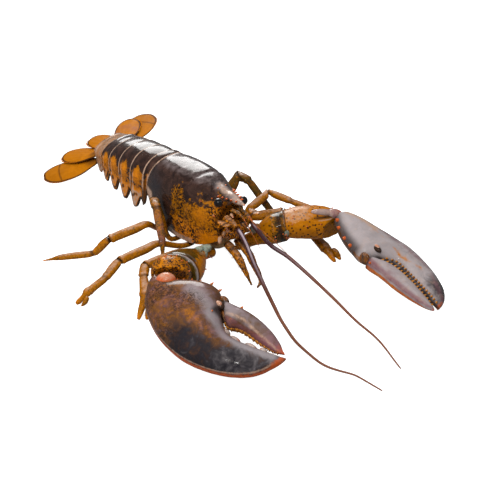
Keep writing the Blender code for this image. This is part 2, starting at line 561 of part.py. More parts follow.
def claw_axes(claw):
    """Directions along a claw, across its palm towards the animal's left, and up from its palm."""
    heading, pitch, roll = (math.radians(claw[key]) for key in ("heading", "pitch", "roll"))
    along = Vector((math.sin(heading) * math.cos(pitch), -math.cos(heading) * math.cos(pitch), math.sin(pitch)))
    level = Vector((math.cos(heading), math.sin(heading), 0))
    up = along.cross(level)
    across = level * math.cos(roll) + up * math.sin(roll)
    return along, across, along.cross(across)


def claw_rings(claw, near, far, thickness, stations):
    """Sections of a claw piece between the two edges of its outline."""
    along, across, normal = claw_axes(claw)
    wrist = Vector(claw["wrist"])
    rings = []
    for place in stations:
        edges = (smooth(claw[near], place), smooth(claw[far], place))
        centre = wrist + along * place + across * (sum(edges) / 2)
        half_width = abs(edges[1] - edges[0]) / 2
        rings.append(oval(centre, across, normal, half_width, smooth(claw[thickness], place), CLAW_SIDES,
                          CLAW_SQUARENESS))
    return rings


def claw_point(claw, along_by, across_by, up_by=0.0):
    """A point given along, across and above the claw's middle plane."""
    along, across, normal = claw_axes(claw)
    return Vector(claw["wrist"]) + along * along_by + across * across_by + normal * up_by


def make_claw(name, claw, arm_joints, arm_widths, wrist_widths, claw_material, arm_material):
    """Arm, wrist piece, palm with its fixed finger, and moving finger of one claw."""
    joints = vectors(arm_joints)
    along, across, _ = claw_axes(claw)
    turn = math.radians(claw["seat_turn"])
    seat_heading = along * math.cos(turn) - across * math.sin(turn)
    seat = claw_point(claw, *claw["seat"])
    points, widths = limb_points(joints, arm_widths)
    elbow_heading = midway(joints[-1] - joints[-2], seat - joints[-1])
    jointed(f"{name}_arm", points, widths, ARM_DEPTH_RATIO, ARM_SIDES, arm_material, last=elbow_heading)
    start = joints[-1] + elbow_heading * GAP
    sweep = (seat - start).length * WRIST_SWEEP
    points = arc(start, start + elbow_heading * sweep, seat - seat_heading * sweep, seat, len(wrist_widths))
    jointed(f"{name}_wrist", points, wrist_widths, ARM_DEPTH_RATIO, ARM_SIDES, arm_material, first=elbow_heading,
            last=seat_heading)
    skin(f"{name}_palm", claw_rings(claw, "outer", "inner", "thickness", claw["palm_stations"]), claw_material,
         end=claw_point(claw, *claw["tip"]))
    skin(f"{name}_finger",
         claw_rings(claw, "finger_outer", "finger_inner", "finger_thickness", claw["finger_stations"]),
         claw_material, end=claw_point(claw, *claw["finger_tip"]))


def make_leg(name, joints, material):
    """Thigh, shin with its toe, and on the front pairs the second finger of a small pincer."""
    joints = vectors(joints)
    fullness = LEG_FULLNESS.get(name, 1.0)
    knee, wrist, toe = joints[3], joints[5], joints[6]
    points, widths = limb_points(joints[:4], THIGH_WIDTHS)
    widths = [width * (fullness if row > 2 else 1.0) for row, width in enumerate(widths)]
    bend = midway(knee - joints[2], joints[4] - knee)
    jointed(f"{name}_thigh", points, widths, LEG_DEPTH_RATIO, LEG_SIDES, material, last=bend)
    lower = [knee + bend * SHARP_KNEE_GAPS.get(name, KNEE_GAP)] + joints[4:]
    side = Vector((0, 0, 0))
    if name in PINCER_LEGS:
        side = (toe - wrist).cross(Vector((0, 0, 1))).normalized() * PINCER_SPREADS[name]
        lower[-1] = toe + side
    points, widths = limb_points(lower, HAND_WIDTHS if name in ("leg_right_2", "leg_left_3") else SHIN_WIDTHS)
    widths = [width * fullness for width in widths]
    jointed(f"{name}_shin", points, widths, LEG_DEPTH_RATIO, LEG_SIDES, material, first=bend)
    if name in PINCER_LEGS:
        heading = (toe - wrist).normalized()
        finger = spread(wrist + heading * PINCER_SETBACK - side, toe - side * PINCER_CLOSING, len(PINCER_WIDTHS))
        jointed(f"{name}_finger", finger, PINCER_WIDTHS, 1.0, LEG_SIDES, material)


def resample(points, count):
    """Points at even steps along a smooth curve through the given ones."""
    keys = [(0.0, points[0])]
    for before, after in zip(points, points[1:]):
        keys.append((keys[-1][0] + (after - before).length, after))
    total = keys[-1][0]
    rows = [[(length, point[axis]) for length, point in keys] for axis in range(3)]
    return [Vector([smooth(row, total * k / (count - 1)) for row in rows]) for k in range(count)]


def make_feeler(name, route, radii, count, material):
    """One tapering whip."""
    points = resample(vectors(route), count)
    widths = [smooth(radii, k / (count - 1)) for k in range(count)]
    jointed(name, points, widths, 1.0, FEELER_SIDES, material)


def make_head_pieces(feeler_material, mouth_material, eye_material):
    """Feelers with their bases and scales, eyes and the leg-like jaws."""
    for side, name in enumerate(("right", "left")):
        jointed(f"antenna_base_{name}", vectors(FEELER_BASES[side]), FEELER_BASE_WIDTHS, 0.9, LEG_SIDES,
                mouth_material)
        make_feeler(f"antenna_{name}", FEELER_ROUTES[side], FEELER_RADII, 26, feeler_material)
        make_feeler(f"antennule_{name}", SMALL_FEELER_ROUTES[side], SMALL_FEELER_RADII, 10, mouth_material)
        skin(f"antenna_scale_{name}", blade_rings(Vector(SCALE_ROOTS[side]), Vector(SCALE_TIPS[side]),
                                                  SCALE_HALF_WIDTH, 0, 0.0006), mouth_material)
        widths = JAW_LEG_WIDTHS[:len(JAW_LEGS[side]) - 1] + JAW_LEG_WIDTHS[-1:]
        jointed(f"jaw_leg_{name}", vectors(JAW_LEGS[side]), widths, 0.8, LEG_SIDES, mouth_material)
        centre = Vector(EYE_CENTRES[side])
        rings = []
        for k in range(1, 8):
            turn = math.pi * k / 8
            rings.append(oval(centre - Vector((0, 1, 0)) * EYE_RADIUS * math.cos(turn), Vector((1, 0, 0)),
                              Vector((0, 0, 1)), EYE_RADIUS * math.sin(turn), EYE_RADIUS * math.sin(turn), LEG_SIDES))
        skin(f"eye_{name}", rings, eye_material, start=centre - Vector((0, EYE_RADIUS, 0)),
             end=centre + Vector((0, EYE_RADIUS, 0)))


def stand_on_ground():
    """Move everything together so the footprint's middle on the ground is the origin."""
    corners = [vert.co for piece in bpy.data.objects for vert in piece.data.vertices]
    low = Vector([min(corner[axis] for corner in corners) for axis in range(3)])
    high = Vector([max(corner[axis] for corner in corners) for axis in range(3)])
    shift = Vector((-(low.x + high.x) / 2, -(low.y + high.y) / 2, -low.z))
    for piece in bpy.data.objects:
        for vert in piece.data.vertices:
            vert.co += shift


def main():
    """Build the lobster from head to tail."""
    for old in list(bpy.data.objects):
        bpy.data.objects.remove(old, do_unlink=True)
    materials = {name: shell_material(name) for name in COLOURS}
    make_body_shell(materials["shell_dark"])
    make_breast(materials["belly_pale"])
    make_mouth(materials["shell_ochre"])
    make_tail_rings(materials["shell_dark"])
    make_paddles(materials["belly_pale"])
    make_fan(materials["fan_amber"])
    make_claw("crusher", CRUSHER, CRUSHER_ARM, CRUSHER_ARM_WIDTHS, CRUSHER_WRIST_WIDTHS, materials["claw_slate"],
              materials["shell_ochre"])
    make_claw("cutter", CUTTER, CUTTER_ARM, CUTTER_ARM_WIDTHS, CUTTER_WRIST_WIDTHS, materials["claw_slate"],
              materials["shell_ochre"])
    for name, joints in LEGS.items():
        make_leg(name, joints, materials["shell_ochre"])
    make_head_pieces(materials["feeler_plum"], materials["shell_ochre"], materials["eye_black"])
    stand_on_ground()


main()
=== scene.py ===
"""Looks of a whole raw lobster: mottled wet shell, spines, teeth, eyes, hairs and a pale studio."""
import math
import random

import bmesh
import bpy
import numpy as np
from bpy.props import FloatProperty, FloatVectorProperty, PointerProperty
from mathutils import Matrix, Vector
from mathutils.bvhtree import BVHTree
from mathutils.kdtree import KDTree


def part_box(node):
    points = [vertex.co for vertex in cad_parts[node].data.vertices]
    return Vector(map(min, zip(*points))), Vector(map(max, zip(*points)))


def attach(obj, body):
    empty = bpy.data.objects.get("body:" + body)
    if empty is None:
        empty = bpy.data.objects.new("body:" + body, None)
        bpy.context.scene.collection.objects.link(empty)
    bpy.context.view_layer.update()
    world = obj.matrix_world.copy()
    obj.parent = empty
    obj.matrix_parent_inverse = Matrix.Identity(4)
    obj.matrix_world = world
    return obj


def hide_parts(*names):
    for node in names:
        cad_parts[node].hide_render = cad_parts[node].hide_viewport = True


bl_info = {
    "name": "Raw Lobster",
    "version": (1, 0, 0),
    "blender": (4, 5, 0),
    "location": "3D View > Sidebar > Lobster",
    "description": "Dresses the solids of a lobster as wet mottled shell in a pale studio",
    "category": "Object",
}

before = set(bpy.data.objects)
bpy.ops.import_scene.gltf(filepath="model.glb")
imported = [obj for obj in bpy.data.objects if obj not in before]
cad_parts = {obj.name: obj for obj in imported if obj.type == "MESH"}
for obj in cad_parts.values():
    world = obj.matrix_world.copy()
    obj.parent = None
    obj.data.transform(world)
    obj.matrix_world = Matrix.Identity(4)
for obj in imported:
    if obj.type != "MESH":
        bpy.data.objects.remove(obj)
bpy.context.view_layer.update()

# The point on the ground under the neck groove, which places are measured from
BEAK_TO_GROOVE = 0.058
BACK_HEIGHT = 0.0765
SHELL_LOW, SHELL_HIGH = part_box("carapace")
HOME = Vector(((SHELL_LOW.x + SHELL_HIGH.x) / 2, SHELL_LOW.y + BEAK_TO_GROOVE, SHELL_HIGH.z - BACK_HEIGHT))

SIDES = {"right": -1, "left": 1}
RING_COUNT = 6
BLADES = ("telson", "uropod_right_inner", "uropod_right_outer", "uropod_left_inner", "uropod_left_outer")
PINCER_LEGS = ("leg_right_2", "leg_right_3", "leg_left_2", "leg_left_3")

# Across the view from the front left, and towards the light that glints on the feelers
ACROSS_VIEW = (0.766, -0.643, 0.0)
GLINT_WAY = (-0.45, -0.45, 0.77)

CAMERA_PLACE = (-0.4988, -0.6594, 0.4879)
CAMERA_AIM = (0.0, -0.02, 0.03)
TAIL_END = (0.010, 0.172, 0.033)

# Redness of a spine's foot and tip
SPINE_TINT = (0.15, 0.95)
BEAD_TINT = (0.3, 1.0)

# Outlines on the back shell: heights and the lengths there. The low edge has lengths and the heights there
SHELL_FRONT = ((0.012, 0.028, 0.040, 0.052, 0.060), (-0.0355, -0.0395, -0.0385, -0.0355, -0.0285))
SHELL_REAR = ((0.034, 0.045, 0.058, 0.070, 0.075), (0.0660, 0.0635, 0.0595, 0.0540, 0.0515))
SHELL_EDGE = ((-0.033, -0.018, 0.0, 0.017, 0.031, 0.044), (0.0185, 0.0130, 0.0098, 0.0100, 0.0135, 0.023))

# Spines of the left half of the shell: start and way of the line that seeks the surface, lean of the spine,
# its share of the spine length, its radius and its redness
SHELL_SPINES = (
    *(((0.02, y, 0.0655), (-1, 0, 0), (0.75, -0.75, 0.55), share, 0.0013, (0.5, 1.0))
      for y, share in ((-0.0310, 0.9), (-0.0350, 1.1), (-0.0395, 1.2), (-0.0440, 1.1), (-0.0490, 0.9))),
    ((0.0125, -0.0265, 0.12), (0, 0, -1), (0.3, -0.8, 0.6), 0.80, 0.0009, SPINE_TINT),
    ((0.0185, -0.0180, 0.12), (0, 0, -1), (0.5, -0.7, 0.6), 0.60, 0.0009, SPINE_TINT),
    ((0.0045, -0.0250, 0.12), (0, 0, -1), (0.1, -0.8, 0.7), 0.55, 0.0009, SPINE_TINT),
    ((0.05, -0.0335, 0.050), (-1, 0, 0), (0.35, -1, 0.1), 1.3, 0.0012, SPINE_TINT),
)

# Wrist of each claw, then its heading from -Y towards +X, its pitch and its roll in degrees
CLAWS = {
    "crusher": (Vector((-0.1060, -0.0700, 0.0385)), 16, -10, 24),
    "cutter": (Vector((0.0800, -0.0940, 0.0375)), -2, -15, -4),
}

# Places along each claw and the middle of its gape across it, and where its rows of teeth start and end
GAPES = {
    "crusher": ((0.072, 0.079, 0.090, 0.108, 0.119, 0.127),
                (-0.0065, -0.0095, -0.0093, -0.009, -0.008, -0.0068)),
    "cutter": ((0.064, 0.072, 0.080, 0.095, 0.112, 0.126), (-0.0040, 0.0026, 0.0050, 0.0053, 0.0044, 0.0032)),
}
TOOTH_ROWS = {"crusher": (0.074, 0.127), "cutter": (0.066, 0.127)}

# Lines drawn on the claws, each a row of places along the claw and across it
CLAW_LINES = {
    "crusher_streak": ((0.052, -0.020), (0.068, -0.024), (0.082, -0.027)),
    "crusher_hinge": ((0.040, 0.000), (0.052, -0.002), (0.066, -0.007)),
    "crusher_strip": ((0.068, -0.011), (0.085, -0.019), (0.104, -0.017), (0.124, -0.011)),
    "crusher_crest": ((0.074, -0.001), (0.090, 0.001), (0.106, -0.002), (0.127, -0.005)),
    "cutter_warm": ((0.004, 0.008), (0.020, 0.012), (0.034, 0.013)),
    "cutter_fold": ((0.012, 0.010), (0.046, 0.010), (0.072, 0.010), (0.094, 0.018)),
    "cutter_streak": ((0.066, 0.012), (0.090, 0.018)),
}

# Edges of the slender claw: places along it, and how far across it the edge is there
CUTTER_PALM_LIP = ((0.050, 0.064, 0.072, 0.080, 0.112, 0.130), (-0.0165, -0.002, 0.005, 0.007, 0.0062, 0.004))
CUTTER_PALM_FOOT = ((0, 0.014, 0.026, 0.040), (-0.003, -0.0095, -0.0135, -0.016))
CUTTER_PALM_BROW = ((0.0, 0.03, 0.06, 0.09, 0.13), (0.010, 0.018, 0.021, 0.026, 0.012))
CUTTER_FINGER_BACK = ((0.058, 0.072, 0.086, 0.104, 0.118, 0.130),
                      (-0.016, -0.014, -0.0128, -0.010, -0.0068, -0.002))
CUTTER_FINGER_LIP = ((0.058, 0.064, 0.072, 0.080, 0.112, 0.130),
                     (-0.0128, -0.0062, 0.0002, 0.003, 0.0026, 0.001))

# Broad grinding teeth of the heavy palm: place along it and half length
MOLARS = ((0.081, 0.0036), (0.0905, 0.0056), (0.1055, 0.0062), (0.1155, 0.0036))

# Spines and beads of the claws in each claw's own directions: the part they stand on, start and way of the
# line that seeks its surface, lean, share of the spine length, radius and redness
CLAW_SPINES = (
    *(("crusher_palm", (along, 0.05, up), (0, -1, 0), (0.45, 0, 0.25), share, 0.0012 * share ** 0.5,
       SPINE_TINT)
      for along, up, share in ((0.020, 0.007, 0.45), (0.025, 0.008, 0.45), (0.031, 0.008, 0.5),
                               (0.037, 0.006, 0.5), (0.0455, 0.004, 1.25), (0.0545, 0.004, 1.2),
                               (0.0605, 0.003, 0.7))),
    ("crusher_palm", (0.0656, -0.0077, 0.05), (0, 0, -1), (0, 0, 0), 0.5, 0.0010, SPINE_TINT),
    ("crusher_finger", (0.0800, 0.05, 0.004), (0, -1, 0), (0, 0, 0.3), 0.8125, 0.0016, SPINE_TINT),
    *(("cutter_palm", (along, -0.05, up), (0, 1, 0), (0, 0, 0.3), 1.0, 0.0021, (0.7, 1.0))
      for along, up in ((0.005, 0.004), (0.0125, 0.002), (0.0255, 0.0015), (0.0355, 0.0015))),
    ("cutter_finger", (0.062, -0.05, 0.003), (0, 1, 0), (0, 0, 0.4), 0.6875, 0.0014, (0.6, 1.0)),
)

# Lumps at the claws' hinges in each claw's own directions: claw, place, heading and half sizes
HINGE_LUMPS = {
    "hinge_knobs": (("crusher", (0.0640, 0.0025, 0.0098), (1, 0, 0), (0.0034, 0.0024, 0.0022)),
                    ("cutter", (0.0546, -0.0032, 0.0118), (1, 0, 0), (0.0030, 0.0018, 0.0016))),
    # The sockets' lumps are painted near black as the shade round the knobs
    "hinge_sockets": (("crusher", (0.0648, 0.0025, 0.0082), (1, 0, 0), (0.0052, 0.0036, 0.0028)),
                      ("cutter", (0.0560, -0.0036, 0.0104), (1, 0, 0), (0.0046, 0.0030, 0.0022))),
    "hinge_skins": (("crusher", (0.0630, 0.0100, 0.003), (1, 0, 0), (0.0050, 0.0034, 0.0048)),
                    ("crusher", (0.0705, -0.0010, 0), (1, -0.9, 0), (0.0075, 0.0022, 0.0062)),
                    ("cutter", (0.0540, -0.0140, 0.001), (1, 0, 0), (0.0062, 0.0034, 0.0060))),
}

# Knobs of the wrists: place, half sizes, heading, upward direction and segments
WRIST_KNOBS = {
    "crusher_wrist_knob": (((-0.1070, -0.0850, 0.0428), (0.0086, 0.0066, 0.0070), (0.766, -0.643, 0.06),
                            (0.1, 0.2, 1), 20),),
    "cutter_wrist_knob": (((0.0725, -0.0858, 0.0434), (0.0135, 0.0040, 0.0032), (17, -10, -3), (0, 0, 1), 20),
                          ((0.0800, -0.0902, 0.0414), (0.0082, 0.0052, 0.0046), (17, -10, -3),
                           (0, 0, 1), 16)),
}

# Soft skin in the joints of the arms: place and half sizes
JOINT_SKINS = (
    ((-0.0250, -0.0300, 0.0165), (0.0070, 0.0050, 0.0036)),
    ((-0.0330, -0.0305, 0.0185), (0.0055, 0.0042, 0.0028)),
    ((-0.0290, -0.0325, 0.0130), (0.0050, 0.0040, 0.0034)),
    ((0.0375, -0.0728, 0.0290), (0.0024, 0.0018, 0.0030)),
    ((0.0205, -0.0475, 0.0290), (0.0060, 0.0036, 0.0046)),
    ((0.0265, -0.0500, 0.0262), (0.0050, 0.0032, 0.0040)),
)

# Joints of each leg from the body outwards, then the point it ends in
LEG_JOINTS = {
    "leg_right_2": ((-0.0440, -0.0195, 0.0160), (-0.0860, -0.0230, 0.0200), (-0.0950, -0.0330, 0.0165),
                    (-0.1060, -0.0510, 0.0100), (-0.1160, -0.0630, -0.0030)),
    "leg_right_3": ((-0.0520, 0.0030, 0.0180), (-0.0965, 0.0030, 0.0165), (-0.1180, -0.0060, 0.0110),
                    (-0.1370, -0.0060, 0.0040), (-0.1460, -0.0090, -0.0030)),
    "leg_right_4": ((-0.0320, 0.0245, 0.0220), (-0.0335, 0.0350, 0.0430), (-0.0405, 0.0220, 0.0430),
                    (-0.0530, -0.0030, 0.0230), (-0.0610, -0.0140, -0.0030)),
    "leg_right_5": ((-0.0480, 0.0260, 0.0270), (-0.0870, 0.0330, 0.0220), (-0.1010, 0.0400, 0.0090),
                    (-0.1260, 0.0610, 0.0040), (-0.1345, 0.0760, -0.0030)),
    "leg_left_2": ((0.0420, -0.0120, 0.0250), (0.0700, -0.0090, 0.0345), (0.0780, -0.0340, 0.0320),
                   (0.0920, -0.0590, 0.0260), (0.0980, -0.0700, 0.0180)),
    "leg_left_3": ((0.0430, -0.0100, 0.0160), (0.0700, -0.0300, 0.0220), (0.0790, -0.0530, 0.0120),
                   (0.0790, -0.0830, 0.0010), (0.0790, -0.1000, -0.0030)),
    "leg_left_4": ((0.0370, 0.0200, 0.0230), (0.0560, 0.0200, 0.0470), (0.0600, 0.0080, 0.0430),
                   (0.0710, -0.0120, 0.0150), (0.0780, -0.0220, -0.0030)),
    "leg_left_5": ((0.0380, 0.0460, 0.0260), (0.0560, 0.0660, 0.0260), (0.0640, 0.0800, 0.0140),
                   (0.0760, 0.1020, 0.0040), (0.0840, 0.1120, -0.0030)),
}

# The broad pincer of the leg beside the heavy claw, and the legs that are dimmer than the rest
BROAD_PINCER = "leg_right_3"
LEG_DIMMING = {"leg_left_4": 0.22, "leg_right_4": 0.08}

# Face of the left half: spines with their lean and length, and palps with their half sizes and heading
FACE_SPINES = (((0.0060, -0.046, 0.052), (0.2, -1, -0.2), 0.005),
               ((0.0100, -0.044, 0.040), (0.5, -1, -0.1), 0.006),
               ((0.0125, -0.042, 0.033), (0.6, -1, -0.3), 0.006),
               ((0.0050, -0.049, 0.040), (0.1, -1, -0.5), 0.005))
PALPS = (((0.0150, -0.0400, 0.0400), (0.0050, 0.0016, 0.0022), (0.7, -0.5, 0.5)),
         ((0.0120, -0.0430, 0.0345), (0.0046, 0.0018, 0.0020), (0.8, -0.6, -0.2)),
         ((0.0145, -0.0400, 0.0270), (0.0052, 0.0022, 0.0026), (0.6, -0.6, -0.4)),
         ((0.0090, -0.0450, 0.0475), (0.0042, 0.0016, 0.0018), (0.6, -0.7, 0.3)))

# Soft boxes: name, place, the setting that holds the power, size, and whether they show in the gloss
LAMPS = (("Overhead", (-0.25, -0.15, 1.0), "key", 0.9, False),
         ("Behind", (0.45, 0.70, 0.50), "back", 0.5, True),
         ("Beside", (-0.95, 0.1, 0.6), "fill", 0.5, False),
         ("Spark", (-0.55, -0.60, 0.85), "spark", 0.09, True))


def colour_property(name, description, default):
    """A colour that a user may change."""
    return FloatVectorProperty(name=name, description=description, subtype="COLOR", size=3, min=0.0, max=1.0,
                               default=default)


def number_property(name, description, default, least=0.0, **kind):
    """A number that a user may change, with its least value and its unit."""
    return FloatProperty(name=name, description=description, min=least, default=default, **kind)


def length_property(name, description, default):
    """A length in metres that a user may change."""
    return number_property(name, description, default, unit="LENGTH")


def angle_property(name, description, degrees):
    """An angle that a user may change."""
    return FloatProperty(name=name, description=description, subtype="ANGLE", default=math.radians(degrees))


class LobsterShellSettings(bpy.types.PropertyGroup):
    """Colours and relief of the hard shell."""
    dark: colour_property("Dark", "Near-black brown of the back", (0.014, 0.007, 0.006))
    violet: colour_property("Violet", "Violet brown of the dark shell", (0.054, 0.026, 0.019))
    slate: colour_property("Slate", "Blue black of the darkest plates", (0.016, 0.014, 0.018))
    ochre: colour_property("Ochre", "Yellow brown of the flanks", (0.340, 0.120, 0.002))
    orange: colour_property("Orange", "Orange of the joints and plate edges", (0.627, 0.190, 0.003))
    olive: colour_property("Olive", "Olive brown of the upper arms", (0.085, 0.048, 0.005))
    # This colour is a painted sheen: a grey violet reflection of the soft boxes laid on upper faces, ridges,
    # rims and knobs
    bloom: colour_property("Bloom", "Grey violet bloom of rubbed faces", (0.240, 0.210, 0.215))
    # Pale also serves as a painted highlight on the upper faces of legs, pincers, feeler bases, wrists,
    # stalks and palps
    pale: colour_property("Pale", "Pinkish grey of worn margins", (0.420, 0.270, 0.190))
    red: colour_property("Red", "Orange red of spines and rims", (0.480, 0.085, 0.015))
    plum: colour_property("Plum", "Plum of the ridges on claws and wrists", (0.190, 0.075, 0.088))
    teal: colour_property("Teal", "Blue green of the joint skin", (0.070, 0.110, 0.090))
    mottle: length_property("Mottle size", "Size of the patches of the mottling", 0.0050)
    pit: length_property("Pit size", "Distance between the small pits", 0.0012)
    relief: length_property("Relief", "Height of the shell's low swellings", 0.00022)
    spine: length_property("Spine length", "Length of a middle spine", 0.0032)


class LobsterClawSettings(bpy.types.PropertyGroup):
    """Colours and teeth of the two claws."""
    brown: colour_property("Brown", "Warm brown of the palms", (0.100, 0.042, 0.016))
    mauve: colour_property("Mauve", "Grey mauve of the slender claw", (0.330, 0.285, 0.285))
    tooth: colour_property("Tooth", "Amber of the teeth", (0.600, 0.230, 0.030))
    pearl: colour_property("Pearl", "Pale grey of the broad grinding teeth", (0.420, 0.380, 0.360))
    tooth_size: length_property("Tooth size", "Radius of a middle tooth", 0.0016)


class LobsterTailSettings(bpy.types.PropertyGroup):
    """Colours of the tail fan and the belly."""
    amber: colour_property("Amber", "Clear amber of the blades", (0.560, 0.190, 0.001))
    belly: colour_property("Belly", "Soft pale underside", (0.450, 0.260, 0.100))
    fringe: length_property("Fringe", "Length of the blades' fringe of hair", 0.0022)


class LobsterHeadSettings(bpy.types.PropertyGroup):
    """Colours of the feelers and eyes."""
    plum: colour_property("Plum", "Dark plum of the feelers near the head", (0.050, 0.016, 0.018))
    brown: colour_property("Brown", "Red brown of the feelers farther out", (0.200, 0.070, 0.034))
    eye: colour_property("Eye", "Glossy black of the eyes", (0.004, 0.004, 0.005))
    ring: length_property("Ring spacing", "Distance between the rings of a long feeler", 0.0011)


class LobsterStageSettings(bpy.types.PropertyGroup):
    """Floor, light and camera."""
    floor: colour_property("Floor", "Pale floor", (0.480, 0.480, 0.480))
    glow: number_property("Glow", "White that the floor shows beyond its own light", 1.0)
    sky: number_property("Sky", "Strength of the white surround", 0.15)
    key: number_property("Key", "Power of the overhead soft box", 13.0, unit="POWER")
    back: number_property("Back", "Power of the low soft box behind the animal", 5.0, unit="POWER")
    fill: number_property("Fill", "Power of the soft box beside the camera", 5.0, unit="POWER")
    spark: number_property("Spark", "Power of the small lamp that lights the wet glints", 1.2, unit="POWER")
    lens: number_property("Lens", "Focal length in millimetres", 72.0, least=1.0)
    turn: angle_property("Turn", "Camera's turn about the vertical", -40)
    tilt: angle_property("Tilt", "Camera's tilt from straight down", 59)


def fill(tree, node, inputs):
    """Give a node's inputs links or values of their own."""
    for key, value in inputs.items():
        socket = node.inputs[key]
        if isinstance(value, bpy.types.NodeSocket):
            tree.links.new(value, socket)
        elif socket.type == "RGBA":
            socket.default_value = (*value, 1.0)
        else:
            socket.default_value = value


def new_node(tree, kind, inputs=None, **options):
    """Add a node, set its options, and fill its inputs."""
    made = tree.nodes.new(kind)
    for key, value in options.items():
        setattr(made, key, value)
    fill(tree, made, inputs or {})
    return made


def math_node(tree, operation, *values):
    """Combine numbers or links."""
    return new_node(tree, "ShaderNodeMath", dict(enumerate(values)), operation=operation).outputs[0]


def ramp(tree, value, low, high, to_low=0.0, to_high=1.0):
    """Ease a value from one range to another."""
    return new_node(tree, "ShaderNodeMapRange",
                    {"Value": value, "From Min": low, "From Max": high, "To Min": to_low, "To Max": to_high},
                    interpolation_type="SMOOTHSTEP").outputs["Result"]


def mixed(tree, factor, first, second, blend="MIX"):
    """Mix two colours."""
    return new_node(tree, "ShaderNodeMix", {0: factor, 6: first, 7: second}, data_type="RGBA",
                    blend_type=blend).outputs[2]


def cloud(tree, place, scale, **inputs):
    """Value of a cloudy noise."""
    return new_node(tree, "ShaderNodeTexNoise", {"Vector": place, "Scale": scale, **inputs}).outputs["Fac"]


def cells(tree, place, scale, feature):
    """Distance from the middle or the edge of irregular cells."""
    return new_node(tree, "ShaderNodeTexVoronoi", {"Vector": place, "Scale": scale},
                    feature=feature).outputs["Distance"]


def shaded(colour, share):
    """A colour made darker or lighter."""
    return tuple(part * share for part in colour)


def new_group(name, inputs, outputs):
    """An empty shader node group with named inputs and outputs. An input without a value is a place."""
    group = bpy.data.node_groups.new(name, "ShaderNodeTree")
    for label, value in inputs.items():
        kind = "NodeSocketVector" if value is None else "NodeSocketFloat"
        socket = group.interface.new_socket(label, in_out="INPUT", socket_type=kind)
        if value is not None:
            socket.default_value = value
    for label in outputs:
        group.interface.new_socket(label, in_out="OUTPUT", socket_type="NodeSocketFloat")
    return group, group.nodes.new("NodeGroupInput").outputs, group.nodes.new("NodeGroupOutput").inputs


def mottle_group():
    """Patches of noise that grow with their amount."""
    group, given, out = new_group("Mottle", {"Vector": None, "Amount": 0.5, "Size": 0.006, "Softness": 0.08},
                                  ("Mask",))
    scale = math_node(group, "DIVIDE", 1.0, given["Size"])
    clouds = cloud(group, given["Vector"], scale, Detail=6.0, Roughness=0.62, Distortion=0.6)
    lift = math_node(group, "ADD", clouds, given["Amount"])
    low = math_node(group, "SUBTRACT", 1.0, given["Softness"])
    high = math_node(group, "ADD", 1.0, given["Softness"])
    group.links.new(ramp(group, lift, low, high), out["Mask"])
    return group


def network_group():
    """Dark dots and a broken net of lines, as on the flanks of the shell."""
    group, given, out = new_group(
        "Spot network", {"Vector": None, "Amount": 0.5, "Size": 0.003, "Net": 1.0, "Dot": 0.34}, ("Mask",))
    sway_reach = 0.0016
    scale = math_node(group, "DIVIDE", 1.0, given["Size"])
    sway = new_node(group, "ShaderNodeTexNoise", {"Vector": given["Vector"], "Scale": scale, "Detail": 3.0})
    moved = new_node(group, "ShaderNodeVectorMath", {0: sway.outputs["Color"], "Scale": sway_reach},
                     operation="SCALE").outputs[0]
    place = new_node(group, "ShaderNodeVectorMath", {0: given["Vector"], 1: moved},
                     operation="ADD").outputs[0]
    dots = ramp(group, cells(group, place, scale, "F1"), math_node(group, "SUBTRACT", given["Dot"], 0.06),
                math_node(group, "ADD", given["Dot"], 0.05), 1.0, 0.0)
    net = ramp(group, cells(group, place, scale, "DISTANCE_TO_EDGE"), 0.07, 0.16, 1.0, 0.0)
    regions = cloud(group, given["Vector"], math_node(group, "MULTIPLY", scale, 0.45), Detail=2.0)
    choice = math_node(group, "MULTIPLY", ramp(group, regions, 0.45, 0.6), given["Net"])
    both = math_node(group, "ADD",
                     math_node(group, "MULTIPLY", dots, math_node(group, "SUBTRACT", 1.0, choice)),
                     math_node(group, "MULTIPLY", net, choice))
    clouds = cloud(group, given["Vector"], math_node(group, "MULTIPLY", scale, 1.1), Detail=3.0,
                   Distortion=0.5)
    blots = math_node(group, "MULTIPLY", ramp(group, clouds, 0.53, 0.60), given["Net"])
    scaled = math_node(group, "MULTIPLY", math_node(group, "MAXIMUM", both, blots), given["Amount"])
    group.links.new(math_node(group, "MINIMUM", scaled, 1.0), out["Mask"])
    return group


def surface_group():
    """Roughness and height of wet shell: fine pits, a faint grain and water films."""
    group, given, out = new_group("Wet shell surface",
                                  {"Vector": None, "Pit size": 0.0012, "Rough": 0.3, "Pits": 1.0},
                                  ("Roughness", "Height"))
    scale = math_node(group, "DIVIDE", 1.0, given["Pit size"])
    dent = ramp(group, cells(group, given["Vector"], scale, "F1"), 0.0, 0.32, -1.0, 0.0)
    grain = cloud(group, given["Vector"], math_node(group, "MULTIPLY", scale, 0.5), Detail=5.0)
    height = math_node(group, "ADD", math_node(group, "MULTIPLY", dent, given["Pits"]),
                       math_node(group, "MULTIPLY", grain, 0.9))
    film = cloud(group, given["Vector"], math_node(group, "MULTIPLY", scale, 0.12), Detail=3.0)
    change = ramp(group, film, 0.35, 0.65, -0.09, 0.09)
    group.links.new(math_node(group, "ADD", given["Rough"], change), out["Roughness"])
    group.links.new(height, out["Height"])
    return group


GROUPS = {"Mottle": mottle_group, "Spot network": network_group, "Wet shell surface": surface_group}


def placed(tree, name, **inputs):
    """A shared group, made on first use, set in a material with its own values."""
    shared = {group: bpy.data.node_groups.get(group) or maker() for group, maker in GROUPS.items()}
    made = new_node(tree, "ShaderNodeGroup", {}, node_tree=shared[name])
    fill(tree, made, {key.replace("_", " ").capitalize(): value for key, value in inputs.items()})
    return made.outputs


def painted(tree, name):
    """The painted mask of that name."""
    return new_node(tree, "ShaderNodeAttribute", attribute_name=name).outputs["Fac"]


def new_material(name):
    """A new material, its node tree and its shader."""
    material = bpy.data.materials.new(name)
    material.use_nodes = True
    return material, material.node_tree, material.node_tree.nodes["Principled BSDF"]


def bumped(tree, height, distance):
    """The surface's direction with a small relief."""
    bump = new_node(tree, "ShaderNodeBump", {"Strength": 1.0, "Distance": distance, "Height": height})
    return bump.outputs["Normal"]


